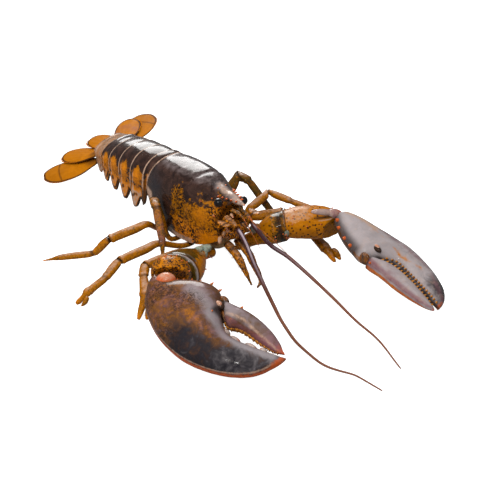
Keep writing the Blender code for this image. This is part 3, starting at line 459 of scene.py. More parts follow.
def shell_finish(name, ground, second, rough=0.28, pits=1.0, mottle=0.005, pit=0.0012, spot=0.0026, coat=0.35,
                 soft=0.07, net=1.0, dot=0.34, wet=1.0):
    """Wet mottled shell. Painted masks say where it takes each of the shell's colours."""
    settings = bpy.context.scene.lobster_shell
    pit_depth = 0.00012
    material, tree, shader = new_material(name)
    place = new_node(tree, "ShaderNodeTexCoord").outputs["Object"]

    def patches(amount, size, softness):
        made = placed(tree, "Mottle", vector=place, amount=amount, size=mottle * size, softness=softness)
        return made["Mask"]

    def covered(colour, mask, size, softness):
        return mixed(tree, patches(painted(tree, mask), size, softness), colour, getattr(settings, mask))

    colour = mixed(tree, patches(0.5, 2.0, 0.2), ground, second)
    colour = covered(colour, "slate", 2.0, 0.25)
    ochres = mixed(tree, patches(0.5, 1.3, 0.25), settings.ochre, shaded(settings.ochre, 0.6))
    ochres = mixed(tree, painted(tree, "orange"), ochres, settings.orange)
    warm = patches(painted(tree, "ochre"), 1.0, soft)
    colour = mixed(tree, warm, colour, ochres)
    # Painted sheen: a grey violet reflection laid over the colour where its mask says
    colour = covered(colour, "bloom", 2.0, 0.4)
    colour = covered(colour, "plum", 2.0, 0.4)
    spots = placed(tree, "Spot network", vector=place, amount=painted(tree, "spots"), size=spot, net=net,
                   dot=dot)
    colour = mixed(tree, spots["Mask"], colour, settings.dark)
    colour = covered(colour, "pale", 0.8, 0.35)
    colour = covered(colour, "red", 1.0, 0.35)
    colour = mixed(tree, painted(tree, "dark"), colour, settings.dark)
    surface = placed(tree, "Wet shell surface", vector=place, pit_size=pit, rough=rough, pits=pits)
    fill(tree, shader, {"Base Color": colour, "Roughness": surface["Roughness"],
                        "Normal": bumped(tree, surface["Height"], pit_depth),
                        "Specular IOR Level": 0.12 * wet, "Specular Tint": (1.0, 0.85, 0.6),
                        "Coat Roughness": 0.12,
                        "Coat Weight": ramp(tree, warm, 0.0, 1.0, coat * 2.0, coat * 0.25)})
    return material


def eye_finish(name, colour):
    """Glossy black of an eye, the same all over."""
    material, tree, shader = new_material(name)
    fill(tree, shader, {"Base Color": colour, "Roughness": 0.08, "Specular IOR Level": 0.5,
                        "Coat Weight": 0.6, "Coat Roughness": 0.05})
    return material


def feeler_finish(name, plum, brown, spacing):
    """Ringed horn of a long feeler, plum near the head and brown farther out, with a painted glint along its
    upper side.
    """
    groove_depth = 0.0002
    groove_shade = (0.4, 0.4, 0.4)
    glint = (0.50, 0.40, 0.44)
    material, tree, shader = new_material(name)
    reach = painted(tree, "reach")
    wave = math_node(tree, "SINE", math_node(tree, "MULTIPLY", reach, math.tau / spacing))
    groove = ramp(tree, wave, -1.0, -0.4)
    horn = mixed(tree, ramp(tree, reach, 0.03, 0.12), plum, brown)
    colour = mixed(tree, math_node(tree, "SUBTRACT", 1.0, groove), horn, groove_shade, "MULTIPLY")
    # Painted glint along the upper side, strongest near the head
    pale = math_node(tree, "MULTIPLY", painted(tree, "top"), ramp(tree, reach, 0.02, 0.13, 0.75, 0.05))
    colour = mixed(tree, pale, colour, glint)
    fill(tree, shader, {"Base Color": colour, "Normal": bumped(tree, groove, groove_depth), "Roughness": 0.36,
                        "Specular IOR Level": 0.3, "Coat Weight": 0.25})
    return material


def lattice_noise(places, size, seed=0):
    """Smooth repeatable noise between -1 and 1 with lumps of about the given size."""
    cell_places = places / size + 31.7 + seed * 5.3
    corner = np.floor(cell_places)
    blend = cell_places - corner
    blend = blend * blend * (3 - 2 * blend)
    corner = corner.astype(np.int64)
    total = np.zeros(len(places))
    for step in np.ndindex(2, 2, 2):
        spot = corner + step
        mixed_bits = (spot[:, 0] * 73856093) ^ (spot[:, 1] * 19349663) ^ (spot[:, 2] * 83492791)
        mixed_bits = ((mixed_bits ^ (mixed_bits >> 13)) * 1274126177) & 0xFFFFFF
        weight = np.prod(np.where(np.array(step), blend, 1 - blend), axis=1)
        total += weight * (mixed_bits / 0xFFFFFF * 2 - 1)
    return total


def ease(values, low, high):
    """Smooth step of an array from 0 at low to 1 at high."""
    share = np.clip((values - low) / (high - low), 0, 1)
    return share * share * (3 - 2 * share)


def near(values, middle, width):
    """Bump of 1 at the middle that dies away over the width."""
    return np.exp(-((values - middle) / width) ** 2)


def places_of(mesh):
    """A mesh's points as an array."""
    flat = np.empty(len(mesh.vertices) * 3)
    mesh.vertices.foreach_get("co", flat)
    return flat.reshape(-1, 3)


def normals_of(mesh):
    """A mesh's point normals as an array."""
    flat = np.empty(len(mesh.vertices) * 3, np.float32)
    mesh.vertex_normals.foreach_get("vector", flat)
    return flat.reshape(-1, 3).astype(float)


def set_places(mesh, places):
    """Move a mesh's points."""
    mesh.vertices.foreach_set("co", places.ravel())
    mesh.update()


def raise_by(piece, height):
    """Move a piece's points outwards, each by its own height."""
    set_places(piece.data, places_of(piece.data) + normals_of(piece.data) * height[:, None])


def paint(piece, **masks):
    """Keep painted masks on a piece, each a value from 0 to 1 at every point."""
    count = len(piece.data.vertices)
    for name, values in masks.items():
        layer = piece.data.attributes.get(name) or piece.data.attributes.new(name, "FLOAT", "POINT")
        layer.data.foreach_set("value", np.clip(np.broadcast_to(values, (count,)), 0, 1).astype(np.float32))


def cage_of(node, crease_degrees):
    """A merged copy of a CAD node with its triangles joined to quads and its sharp edges creased."""
    mesh = bpy.data.meshes.new(f"{node}_cage")
    bm = bmesh.new()
    bm.from_mesh(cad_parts[node].data)
    bmesh.ops.remove_doubles(bm, verts=bm.verts[:], dist=2e-6)
    bmesh.ops.join_triangles(bm, faces=bm.faces[:], angle_face_threshold=math.radians(50),
                             angle_shape_threshold=math.radians(80))
    crease = bm.edges.layers.float.new("crease_edge")
    for edge in bm.edges:
        if len(edge.link_faces) == 2 and edge.calc_face_angle() > math.radians(crease_degrees):
            edge[crease] = 1.0
    bm.to_mesh(mesh)
    bm.free()
    return mesh


def refined(node, levels, crease_degrees=75):
    """A smooth piece through the points of a CAD node."""
    cage = cage_of(node, crease_degrees)
    piece = bpy.data.objects.new(node + "_skin", cage)
    bpy.context.scene.collection.objects.link(piece)
    smoother = piece.modifiers.new("Smooth", "SUBSURF")
    smoother.levels = smoother.render_levels = 1
    target = places_of(cage)
    current = target.copy()
    for _ in range(2):
        bpy.context.view_layer.update()
        shown = piece.evaluated_get(bpy.context.evaluated_depsgraph_get()).data
        current += (target - places_of(shown)[:len(target)]) * 0.9
        set_places(cage, current)
        cage.update_tag()
    smoother.levels = smoother.render_levels = levels
    bpy.context.view_layer.update()
    graph = bpy.context.evaluated_depsgraph_get()
    mesh = bpy.data.meshes.new_from_object(piece.evaluated_get(graph))
    piece.modifiers.clear()
    piece.data = mesh
    mesh.materials.clear()
    mesh.shade_smooth()
    return piece


def relief(piece, amount, size=0.006, seed=1):
    """Raise low swellings on a piece."""
    places = places_of(piece.data)
    swell = lattice_noise(places, size, seed) * 0.6 + lattice_noise(places, size * 0.45, seed + 1) * 0.4
    raise_by(piece, swell * amount)


def swollen(node, amount, size, seed=1):
    """A smooth piece over a CAD node with low swellings."""
    piece = refined(node, 3)
    relief(piece, amount, size, seed)
    return piece


def home_places(piece):
    """A piece's points measured from the ground under the neck groove."""
    return places_of(piece.data) - np.array(HOME)


def course(places, bins=24):
    """Distance along a limb from its body end, and its whole length, for each point of it."""
    centre = places.mean(0)
    axis = np.linalg.svd((places - centre)[:: max(1, len(places) // 2000)], full_matrices=False)[2][0]
    if (places @ axis)[np.argmax(np.linalg.norm(places[:, :2], axis=1))] < (places @ axis).mean():
        axis = -axis
    share = places @ axis
    share = (share - share.min()) / np.ptp(share)
    edges = np.linspace(0, 1, bins + 1)
    which = np.clip(np.digitize(share, edges) - 1, 0, bins - 1)
    middles = np.array([places[which == b].mean(0) if (which == b).any() else [np.nan] * 3
                        for b in range(bins)])
    kept = ~np.isnan(middles[:, 0])
    middles, spots = middles[kept], (edges[:-1] + edges[1:])[kept] / 2
    walked = np.concatenate([[0], np.cumsum(np.linalg.norm(np.diff(middles, axis=0), axis=1))])
    slope = walked[-1] / (spots[-1] - spots[0])
    along = np.interp(share, spots, walked) + np.minimum(share - spots[0], 0) * slope
    along += np.maximum(share - spots[-1], 0) * slope
    along -= along.min()
    return along, along.max()


def finish_piece(piece, material, slot, *nodes):
    """Give a piece its finish, let it ride on the body, and let it stand for its CAD nodes."""
    piece.data.materials.clear()
    piece.data.materials.append(material)
    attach(piece, "root")
    if nodes:
        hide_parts(*nodes)


def joined(name, pieces):
    """Several objects made one."""
    with bpy.context.temp_override(active_object=pieces[0], selected_editable_objects=pieces):
        bpy.ops.object.join()
    pieces[0].name = name
    return pieces[0]


def piece_from(bm, name):
    """An object at the origin from a bmesh, with its faces turned outwards."""
    bmesh.ops.recalc_face_normals(bm, faces=bm.faces[:])
    mesh = bpy.data.meshes.new(name)
    bm.to_mesh(mesh)
    bm.free()
    mesh.shade_smooth()
    piece = bpy.data.objects.new(name, mesh)
    bpy.context.scene.collection.objects.link(piece)
    return piece


def claw_axes(name):
    """Wrist, and directions along, across and up from a claw's palm."""
    wrist, heading, pitch, roll = CLAWS[name]
    heading, pitch, roll = (math.radians(angle) for angle in (heading, pitch, roll))
    along = Vector((math.sin(heading) * math.cos(pitch), -math.cos(heading) * math.cos(pitch),
                    math.sin(pitch)))
    level = Vector((math.cos(heading), math.sin(heading), 0))
    across = level * math.cos(roll) + along.cross(level) * math.sin(roll)
    return wrist + HOME, along, across, along.cross(across)


def claw_way(name, along, across, up):
    """A direction or step in a claw's own directions."""
    _, *axes = claw_axes(name)
    return axes[0] * along + axes[1] * across + axes[2] * up


def claw_point(name, along, across, up=0.0):
    """A place measured from a claw's wrist in its own directions."""
    return claw_axes(name)[0] + claw_way(name, along, across, up)


def claw_places(piece, name):
    """Along, across and up places of a piece's points on a claw."""
    wrist, *axes = claw_axes(name)
    return ((places_of(piece.data) - np.array(wrist)) @ np.array([list(axis) for axis in axes]).T).T


def on_side(side, place):
    """A place or direction of the left half, brought to either half of the animal."""
    return Vector((SIDES[side] * place[0], place[1], place[2]))


def tree_of(piece):
    """Search tree of a piece's faces."""
    bm = bmesh.new()
    bm.from_mesh(piece.data)
    tree = BVHTree.FromBMesh(bm)
    bm.free()
    return tree


def skin_tree(node):
    """Search tree of the piece that stands for a CAD node."""
    return tree_of(bpy.data.objects[f"{node}_skin"])


def reach_from(places, chosen):
    """Distance of each point from the nearest of the chosen ones."""
    finder = KDTree(int(chosen.sum()))
    for index, spot in enumerate(places[chosen]):
        finder.insert(spot, index)
    finder.balance()
    return np.array([finder.find(spot)[2] for spot in places])


def gap_to(piece, node):
    """Distance from each point of a piece to a CAD node."""
    tree = tree_of(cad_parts[node])
    return np.array([tree.find_nearest(vert.co)[3] for vert in piece.data.vertices])


def surface_hit(tree, start, direction, reach=1.0):
    """Where a line first meets a piece within its reach, and the surface's direction there."""
    return tree.ray_cast(start, direction, reach)[:2]


def standing(direction):
    """The turn that stands a shape's Z axis in a direction."""
    return direction.to_track_quat("Z", "Y").to_matrix().to_4x4()


def thorn(bm, foot, direction, length, radius, segments=7, tint=SPINE_TINT):
    """A spine standing on a surface, redder towards its tip and sunk a little at its foot."""
    blunt, sunk = 0.12, 0.12
    red = bm.verts.layers.float.get("red") or bm.verts.layers.float.new("red")
    before = len(bm.verts)
    bmesh.ops.create_cone(bm, cap_ends=True, segments=segments, radius1=radius, radius2=radius * blunt,
                          depth=length)
    bm.verts.ensure_lookup_table()
    made = bm.verts[before:]
    upright = [edge for edge in dict.fromkeys(edge for vert in made for edge in vert.link_edges)
               if abs(edge.verts[0].co.z - edge.verts[1].co.z) > length * 0.5]
    bmesh.ops.subdivide_edges(bm, edges=upright, cuts=2)
    bm.verts.ensure_lookup_table()
    place = Matrix.Translation(foot) @ standing(direction)
    for vert in bm.verts[before:]:
        share = vert.co.z / length + 0.5
        bulge = 1 + 0.3 * math.sin(math.pi * share)
        vert[red] = tint[0] + (tint[1] - tint[0]) * share
        vert.co = place @ Vector((vert.co.x * bulge, vert.co.y * bulge, (share - sunk) * length))


def planted(bm, tree, start, way, lean, length, radius, tint, square=0.0):
    """A spine where a line first meets a piece, leaning as given plus a share of the surface's direction."""
    spot, normal = surface_hit(tree, start, way)
    if spot:
        thorn(bm, spot, normal * square + lean, length, radius, tint=tint)


def hair(bm, foot, direction, length, radius):
    """One stiff hair, with its foot in the surface."""
    above = Matrix.Translation((0, 0, length * 0.45))
    bmesh.ops.create_cone(bm, cap_ends=True, segments=3, radius1=radius, radius2=radius * 0.2, depth=length,
                          matrix=Matrix.Translation(foot) @ standing(direction) @ above)


def tufted(bm, picker, verts, count, lean, lengths, radius):
    """Hairs on points picked from those given, leaning as given from the surface's own direction."""
    for vert in picker.sample(verts, min(count, len(verts))):
        hair(bm, vert.co, vert.normal + Vector(lean), picker.uniform(*lengths), radius)


def lump(bm, centre, size, axes, segments=12):
    """An egg-shaped knob with its own axes."""
    turn = Matrix([list(axis) for axis in axes]).transposed().to_4x4()
    bmesh.ops.create_uvsphere(bm, u_segments=segments, v_segments=max(6, segments - 2), radius=1.0,
                              matrix=Matrix.Translation(centre) @ turn @ Matrix.Diagonal((*size, 1.0)))


def crossed(direction, other=(0, 0, 1)):
    """Three square directions, the first one given."""
    first = Vector(direction).normalized()
    second = Vector(other).cross(first).normalized()
    return first, second, first.cross(second)


def stroke(first, second, line, radius):
    """1 on a line drawn on a surface, dying away over the radius."""
    spots = np.stack((first, second), axis=1)
    best = np.full(len(spots), np.inf)
    for start, end in zip(line, line[1:]):
        start, step = np.array(start), np.array(end) - np.array(start)
        share = np.clip((spots - start) @ step / (step @ step), 0, 1)
        best = np.minimum(best, np.linalg.norm(spots - start - share[:, None] * step, axis=1))
    return np.exp(-(best / radius) ** 2)


def hoop_edges(places, bins=90):
    """Distance of each point of a hoop from the hoop's rear edge and from its front edge."""
    middle = places.mean(0)
    angle = np.arctan2(places[:, 0] - middle[0], places[:, 2] - middle[2])
    which = np.clip(((angle + math.pi) / math.tau * bins).astype(int), 0, bins - 1)
    used = [b for b in range(bins) if (which == b).any()]
    spots = (np.array(used) + 0.5) / bins * math.tau - math.pi
    rear = np.array([places[which == b, 1].max() for b in used])
    front = np.array([places[which == b, 1].min() for b in used])
    return (np.interp(angle, spots, rear, period=math.tau) - places[:, 1],
            places[:, 1] - np.interp(angle, spots, front, period=math.tau))


def spiny_finish(name="Spine"):
    """Horn of the spines and knobs, pale at the foot and orange red at the tip."""
    settings = bpy.context.scene.lobster_shell
    made = bpy.data.materials.get(name)
    return made or shell_finish(name, settings.pale, settings.ochre, rough=0.3, pits=0.1, mottle=0.003)


class LOBSTER_OT_shell(bpy.types.Operator):
    """Carapace with its cheeks, groove, margins and spines"""
    bl_idname = "lobster.shell"
    bl_label = "Shell"

    def execute(self, context):
        settings = context.scene.lobster_shell
        finish = shell_finish("Back shell", settings.dark, settings.violet, mottle=settings.mottle,
                              pit=settings.pit)
        shell = swollen("carapace", settings.relief, 0.007)
        self.colour(shell)
        finish_piece(shell, finish, "shell_dark", "carapace")
        tree = tree_of(shell)
        bm = bmesh.new()
        for side in SIDES:
            for start, way, lean, share, radius, tint in SHELL_SPINES:
                planted(bm, tree, HOME + on_side(side, start), on_side(side, way), on_side(side, lean),
                        settings.spine * share, radius, tint)
        beak_tip = Vector((0, -0.0565, 0.0645))
        thorn(bm, HOME + beak_tip, Vector((0, -1, 0.12)), 0.0022, 0.0010)
        finish_piece(piece_from(bm, "shell_spines"), spiny_finish(), "shell_ochre")
        return {"FINISHED"}

    def colour(self, shell):
        """Dark back, dotted ochre cheeks, pale margins and pale beak, with a painted sheen along the beak
        ridge and the top of the back, and painted bounce light on the low cheek.
        """
        p = home_places(shell)
        x, y, z = np.abs(p[:, 0]), p[:, 1], p[:, 2]
        ahead = ease(y, 0.006, -0.004)
        cheek_top = 0.053 * ahead + 0.064 * (1 - ahead)
        cheek = ease(z, cheek_top + 0.009, cheek_top - 0.006) * ease(y, 0.024, 0.009)
        plain = near(y, -0.021, 0.011) * near(z, 0.045, 0.009)
        plain += ease(y, -0.012, -0.022) * ease(z, 0.032, 0.024)
        front = np.interp(z, *SHELL_FRONT)
        rim = ease(y, front + 0.0030, front + 0.0012) * ease(z, 0.053, 0.047)
        rear = np.interp(z, *SHELL_REAR)
        hem = ease(y, rear - 0.0022, rear - 0.0008)
        corner = ease(z, 0.048, 0.040) * ease(y, 0.046, 0.054)
        low = np.interp(y, *SHELL_EDGE)
        skirt = ease(z, low + 0.008, low + 0.004) * ease(y, -0.014, -0.004) * ease(y, 0.030, 0.020)
        ridge = near(x, 0, 0.006) * ease(y, -0.012, -0.026) * ease(z, 0.054, 0.060)
        streaks = near(z, 0.062, 0.008) * ease(y, -0.004, -0.014)
        dotted = ease(cheek, 0.05, 0.4) * (1 - 0.85 * np.clip(plain, 0, 1))
        face = ease(y, -0.024, -0.036) * ease(z, 0.036, 0.046) * ease(z, 0.066, 0.058) * (1 - ridge)
        flank = ease(y, 0.02, 0.035) * ease(z, 0.074, 0.066) * (1 - corner)
        # Painted light: the low cheek is painted brighter orange for light bounced up from the floor, and the
        # top of the back and the beak ridge get a painted sheen
        paint(shell, ochre=0.24 + cheek * 0.5 + streaks * 0.19 + face * 0.42, spots=dotted + face * 0.9,
              orange=plain * 0.60 + face * 0.5 + cheek * 0.9 * ease(z, 0.042, 0.024),
              pale=skirt * 0.65 + hem * 0.6 + ridge * 0.55 + corner, dark=rim * 0.55,
              bloom=ridge * 0.6 + 0.3 * ease(z, 0.068, 0.074),
              slate=(0.44 + 0.12 * lattice_noise(p, 0.009, 4)) * flank)


class LOBSTER_OT_tail(bpy.types.Operator):
    """Six rings of the tail with their side plates"""
    bl_idname = "lobster.tail"
    bl_label = "Tail rings"

    def execute(self, context):
        settings = context.scene.lobster_shell
        finish = shell_finish("Ring shell", settings.violet, settings.dark, mottle=settings.mottle * 1.1,
                              pit=settings.pit)
        for number in range(1, RING_COUNT + 1):
            node = f"tail_ring_{number}"
            ring = swollen(node, settings.relief * 0.7, 0.006, number)
            self.colour(ring, number)
            finish_piece(ring, finish, "shell_dark", node)
        return {"FINISHED"}

    def colour(self, ring, number):
        """Dark back, amber patch on the flank, pale hem and fold, an outlined side plate, and painted shade:
        a dark line ahead of the hem and a darker front where the ring lies under the ring ahead.
        """
        p = home_places(ring)
        rear, _ = hoop_edges(p)
        height = (p[:, 2] - p[:, 2].min()) / np.ptp(p[:, 2])
        flank = ease(height, 0.82, 0.60)
        tip = ease(height, 0.46, 0.30)
        last = number == RING_COUNT
        farther = number / RING_COUNT
        hem = near(rear, 0.0006, 0.0011)
        _, lengthwise, upright = np.abs(normals_of(ring.data)).T
        side_edges = (lengthwise > 0.55) & (height < 0.42)
        low_edges = (upright > 0.7) & (height < 0.10)
        outline = reach_from(p * (0, 1, 1), side_edges | low_edges)
        edge = ease(outline, 0.0015, 0.0007) * tip
        light = near(outline, 0.0026, 0.0008) * tip
        patch = near(height, 0.71 - 0.05 * farther, 0.13) * near(rear, 0.0102, 0.0040) * (not last)
        fold = near(rear, 0.0050, 0.0009) * flank
        # Painted shade: the front of the ring, which lies under the ring ahead, and a dark line ahead of the
        # hem stand for the shade between the rings
        shade_under_ring_ahead = ease(rear, 0.0064, 0.0084) * (1 - 0.7 * tip)
        band = near(rear, 0.0026, 0.0011) * (1 - tip)
        paleness = 0.50 * last
        pinkish = 0.34 if number < 3 else 0.0
        paint(ring, ochre=0.25 + flank * 0.27 + tip * 0.35 + paleness * 0.6 + patch * 0.5,
              spots=flank * (1 - tip) * 0.4, orange=tip * 0.7 + flank * 0.75 + patch * 0.4,
              pale=hem * 0.75 + fold * 0.6 + tip * pinkish + paleness + light * 0.5,
              dark=(edge * 0.85 + band * 0.75 + shade_under_ring_ahead * 0.32 * (1 - patch)) * (1 - paleness),
              slate=0.3 * (1 - flank) * (1 - farther))


class LOBSTER_OT_fan(bpy.types.Operator):
    """Five blades of the tail fan with their fringes, the swimmerets and the belly"""
    bl_idname = "lobster.fan"
    bl_label = "Tail fan"

    def execute(self, context):
        settings = context.scene.lobster_tail
        finish = shell_finish("Fan blade", settings.amber, shaded(settings.amber, 0.62), rough=0.5, pits=0.2,
                              mottle=0.006, spot=0.002, coat=0.0, wet=0.3)
        for node in BLADES:
            self.blade(node, finish, settings)
        soft = shell_finish("Belly skin", settings.belly, shaded(settings.belly, 0.7), rough=0.45, pits=0.3,
                            coat=0.15)
        for node in ("sternum", *(f"swimmerets_{number}" for number in range(2, 6))):
            piece = refined(node, 2)
            paint(piece, ochre=0.35, pale=0.3)
            finish_piece(piece, soft, "belly_pale", node)
        return {"FINISHED"}

    def blade(self, node, finish, settings):
        """One blade with its border, ribs, cross line and fringe."""
        rib_height = 0.00010
        blade = refined(node, 3, 100)
        places = places_of(blade.data)
        middle = places.mean(0)
        _, _, (length_way, width_way, flat) = np.linalg.svd((places - middle)[::7], full_matrices=False)
        if (middle - np.array(Vector(TAIL_END) + HOME)) @ length_way < 0:
            length_way = -length_way
        first, second = (places - middle) @ length_way, (places - middle) @ width_way
        along = first - first.min()
        length = along.max()
        thin = np.abs(normals_of(blade.data) @ flat) < 0.55
        outline = np.stack((first[thin], second[thin]), axis=1)
        rim = reach_from(np.stack((first, second, np.zeros(len(first))), axis=1), thin)
        fan_angle = np.arctan2(second, along + 0.012)
        ribs = np.sin(fan_angle * 46) * ease(rim, 0.001, 0.004) * ease(along, 0.006, 0.014)
        raise_by(blade, ribs * rib_height)
        outer = node.endswith("outer")
        distal = ease(along, length * 0.45, length * 0.7)
        border = ease(rim, 0.0019 + 0.0008 * distal, 0.0010 + 0.0006 * distal)
        cross = near(along / length - 0.66 - 0.05 * np.cos(second / 0.012), 0, 0.018) * outer
        root_shade = ease(along, length * 0.30, length * 0.10) * near(second, 0, 0.007)
        capped = ease(along, 0.022, 0.010) * (node == "telson")
        dark = np.maximum(border * 0.85, np.maximum(cross * 0.8, root_shade * 0.7)) * (1 - capped)
        dark = np.maximum(dark, 0.10 + 0.12 * distal * outer)
        smoky = 0.37 * near(along, length * 0.55, length * 0.25) * (node == "uropod_left_inner")
        paint(blade, dark=dark, plum=smoky, ochre=0.75, orange=0.4, spots=0.05, pale=capped * 0.75)
        finish_piece(blade, finish, "fan_amber", node)
        bm = bmesh.new()
        turns = np.arctan2(outline[:, 1], outline[:, 0])
        hairs, half_sweep = 96, 118
        for step in range(hairs):
            angle = math.radians(-half_sweep + 2 * half_sweep * step / (hairs - 1))
            spot = outline[np.argmin(np.abs(turns - angle))]
            place = Vector(middle + length_way * spot[0] + width_way * spot[1])
            lean = Vector(length_way * (math.cos(angle) + 0.5) + width_way * math.sin(angle))
            hair(bm, place, lean, settings.fringe * (0.8 + 0.3 * math.sin(step * 1.7)), 0.00022)
        fringe = piece_from(bm, f"{node}_fringe")
        paint(fringe, orange=1.0, ochre=1.0)
        finish_piece(fringe, finish, "fan_amber")


class LOBSTER_OT_claws(bpy.types.Operator):
    """Palms and moving fingers of the two claws, with their teeth, spines and beads"""
    bl_idname = "lobster.claws"
    bl_label = "Claws"

    def execute(self, context):
        settings = context.scene.lobster_claws
        violet = context.scene.lobster_shell.violet
        heavy = shell_finish("Crusher shell", settings.brown, violet, rough=0.32, mottle=0.0036, pit=0.0015,
                             spot=0.0015, coat=0.25, soft=0.26)
        slim = shell_finish("Cutter shell", settings.mauve, shaded(settings.mauve, 0.8), rough=0.27,
                            mottle=0.007, pit=0.0016, spot=0.0020, soft=0.2)
        self.crusher_palm(heavy)
        self.crusher_finger(heavy)
        self.cutter_palm(slim)
        self.cutter_finger(slim)
        self.teeth("crusher", settings)
        self.molars(settings)
        self.teeth("cutter", settings)
        self.knobs(context)
        return {"FINISHED"}

    def crusher_palm(self, finish):
        """Palm of the heavy claw: brown and slate above, ochre below, with a red rim, a painted sheen along
        the hinge, a strip and the fixed finger, and painted shade in the gap under the moving finger's root.
        """
        palm = swollen("crusher_palm", 0.0003, 0.009, 5)
        p = home_places(palm)
        a, c, u = claw_places(palm, "crusher")
        above = ease(u, -0.001, 0.003)
        flecked = ease(a, 0.066, 0.045) * ease(c, 0.006, -0.006)
        streak = stroke(a, c, CLAW_LINES["crusher_streak"], 0.0042)
        slate = ease(c, -0.020, -0.036) * ease(a, 0.026, 0.058) + ease(a, 0.088, 0.100)
        brown = 1 - np.clip(slate, 0, 1)
        # The hinge and strip lines carry a painted sheen, as does the fixed finger more faintly
        hinge = stroke(a, c, CLAW_LINES["crusher_hinge"], 0.0075)
        strip = stroke(a, c, CLAW_LINES["crusher_strip"], 0.0045)
        outside = ease(c, -0.010, -0.018)
        rim = near(u, -0.0006, 0.0038) * outside
        line = near(u, 0.0038, 0.0010) * outside
        tip = ease(a, 0.1265, 0.1320)
        # Painted shade in the gap under the moving finger's root
        gap_shade = ease(a, 0.062, 0.066) * ease(a, 0.082, 0.074) * ease(c, -0.010, -0.005)
        fixed = ease(a, 0.086, 0.098)
        paint(palm, ochre=(0.08 + 0.16 * brown + flecked * 0.15 + streak * 0.19) * above + 0.6 * (1 - above),
              orange=0.05 + streak * 0.25, plum=0.27 * above * brown, dark=gap_shade * 0.9,
              slate=slate * (0.69 - 0.04 * fixed + 0.10 * lattice_noise(p, 0.008, 5)) * above,
              bloom=(hinge * 0.62 + strip * 0.68 + fixed * 0.15) * above + 0.12,
              red=rim * 0.95 + tip * 0.6, pale=line * 0.62,
              spots=flecked * 0.8 * ease(lattice_noise(p, 0.011, 3), -0.5, 0.4))
        finish_piece(palm, finish, "claw_slate", "crusher_palm")

    def crusher_finger(self, finish):
        """Moving finger of the heavy claw, with a pale crest, a plum outer side, a painted sheen on top and a
        painted shadow at its root.
        """
        finger = swollen("crusher_finger", 0.0002, 0.007, 7)
        a, c, u = claw_places(finger, "crusher")
        crest = stroke(a, c, CLAW_LINES["crusher_crest"], 0.0017) * ease(u, 0, 0.002)
        root = ease(a, 0.088, 0.076)
        gape = ease(c, -0.0015, -0.0035) * ease(a, 0.068, 0.074)
        outer = ease(c, 0.006, 0.012)
        # Painted sheen on top, less on the outer side and in the gape; the root is painted dark as the shadow
        # in the joint gap
        paint(finger, ochre=0.22 + gape * 0.15, orange=gape * 0.5, pale=crest * 0.5,
              bloom=0.45 + root * 0.2 - outer * 0.3 - gape * 0.35,
              plum=0.22 + 0.30 * outer + 0.3 * gape + 0.3 * ease(a, 0.098, 0.120),
              dark=ease(a, 0.0695, 0.0665) * 0.9, red=ease(a, 0.118, 0.130) * 0.55)
        finish_piece(finger, finish, "claw_slate", "crusher_finger")

    def cutter_palm(self, finish):
        """Palm of the slender claw: mauve above, ochre below, with painted shade along the lips of the gape,
        a painted sheen on its outer upper side and a red rim.
        """
        palm = swollen("cutter_palm", 0.00025, 0.009, 9)
        a, c, u = claw_places(palm, "cutter")
        above = ease(u, -0.001, 0.003)
        warm = stroke(a, c, CLAW_LINES["cutter_warm"], 0.004)
        fold = stroke(a, c, CLAW_LINES["cutter_fold"], 0.0018)
        streak = stroke(a, c, CLAW_LINES["cutter_streak"], 0.0030)
        outside = ease(c, 0.010, 0.018)
        rim = near(u, -0.002, 0.0025) * outside * ease(a, 0.09, 0.115)
        tip = ease(a, 0.1255, 0.1305)
        # Painted shade along the lips of the gape
        lips = near(c, np.interp(a, *CUTTER_PALM_LIP), 0.0012) * ease(a, 0.056, 0.062)
        far = ease(a, 0.088, 0.118)
        foot = near(c, np.interp(a, *CUTTER_PALM_FOOT), 0.0030) * ease(a, 0.050, 0.042)
        brow = near(c, np.interp(a, *CUTTER_PALM_BROW), 0.004)
        # The outer upper side takes a painted sheen
        paint(palm, ochre=0.12 + streak * 0.18 + fold * 0.24 + 0.4 * (1 - above), orange=0.3,
              plum=brow * 0.42, pale=warm * 0.55 + 0.2, red=rim * 0.8 + tip * 0.6,
              slate=far * 0.50 + outside * 0.28,
              dark=np.maximum(lips * 0.9, foot * 0.8), bloom=outside * 0.3 * above)
        finish_piece(palm, finish, "claw_slate", "cutter_palm")

    def cutter_finger(self, finish):
        """Moving finger of the slender claw, with a warm back, painted shade along its lips and a painted
        shadow at its root.
        """
        finger = swollen("cutter_finger", 0.0002, 0.007, 11)
        a, c, u = claw_places(finger, "cutter")
        back = np.interp(a, *CUTTER_FINGER_BACK)
        edge = near(c, back, 0.0045) * ease(u, 0.0000, -0.0015)
        plum = near(c, back + 0.0006, 0.0014) * ease(u, 0.0005, 0.002)
        lips = near(c, np.interp(a, *CUTTER_FINGER_LIP), 0.0016)
        side = near(c, back - 0.001, 0.0022) * ease(u, 0.003, 0.001)
        # Painted shade: the lips of the gape, and the root as the shadow in the joint gap
        paint(finger, ochre=0.12 + edge * 0.6, orange=edge, red=edge * 0.45 + ease(a, 0.127, 0.131) * 0.6,
              plum=0.25 + plum * 0.4 + side * 0.20, pale=0.2, dark=lips * 0.9 + ease(a, 0.062, 0.059) * 0.8)
        finish_piece(finger, finish, "claw_slate", "cutter_finger")

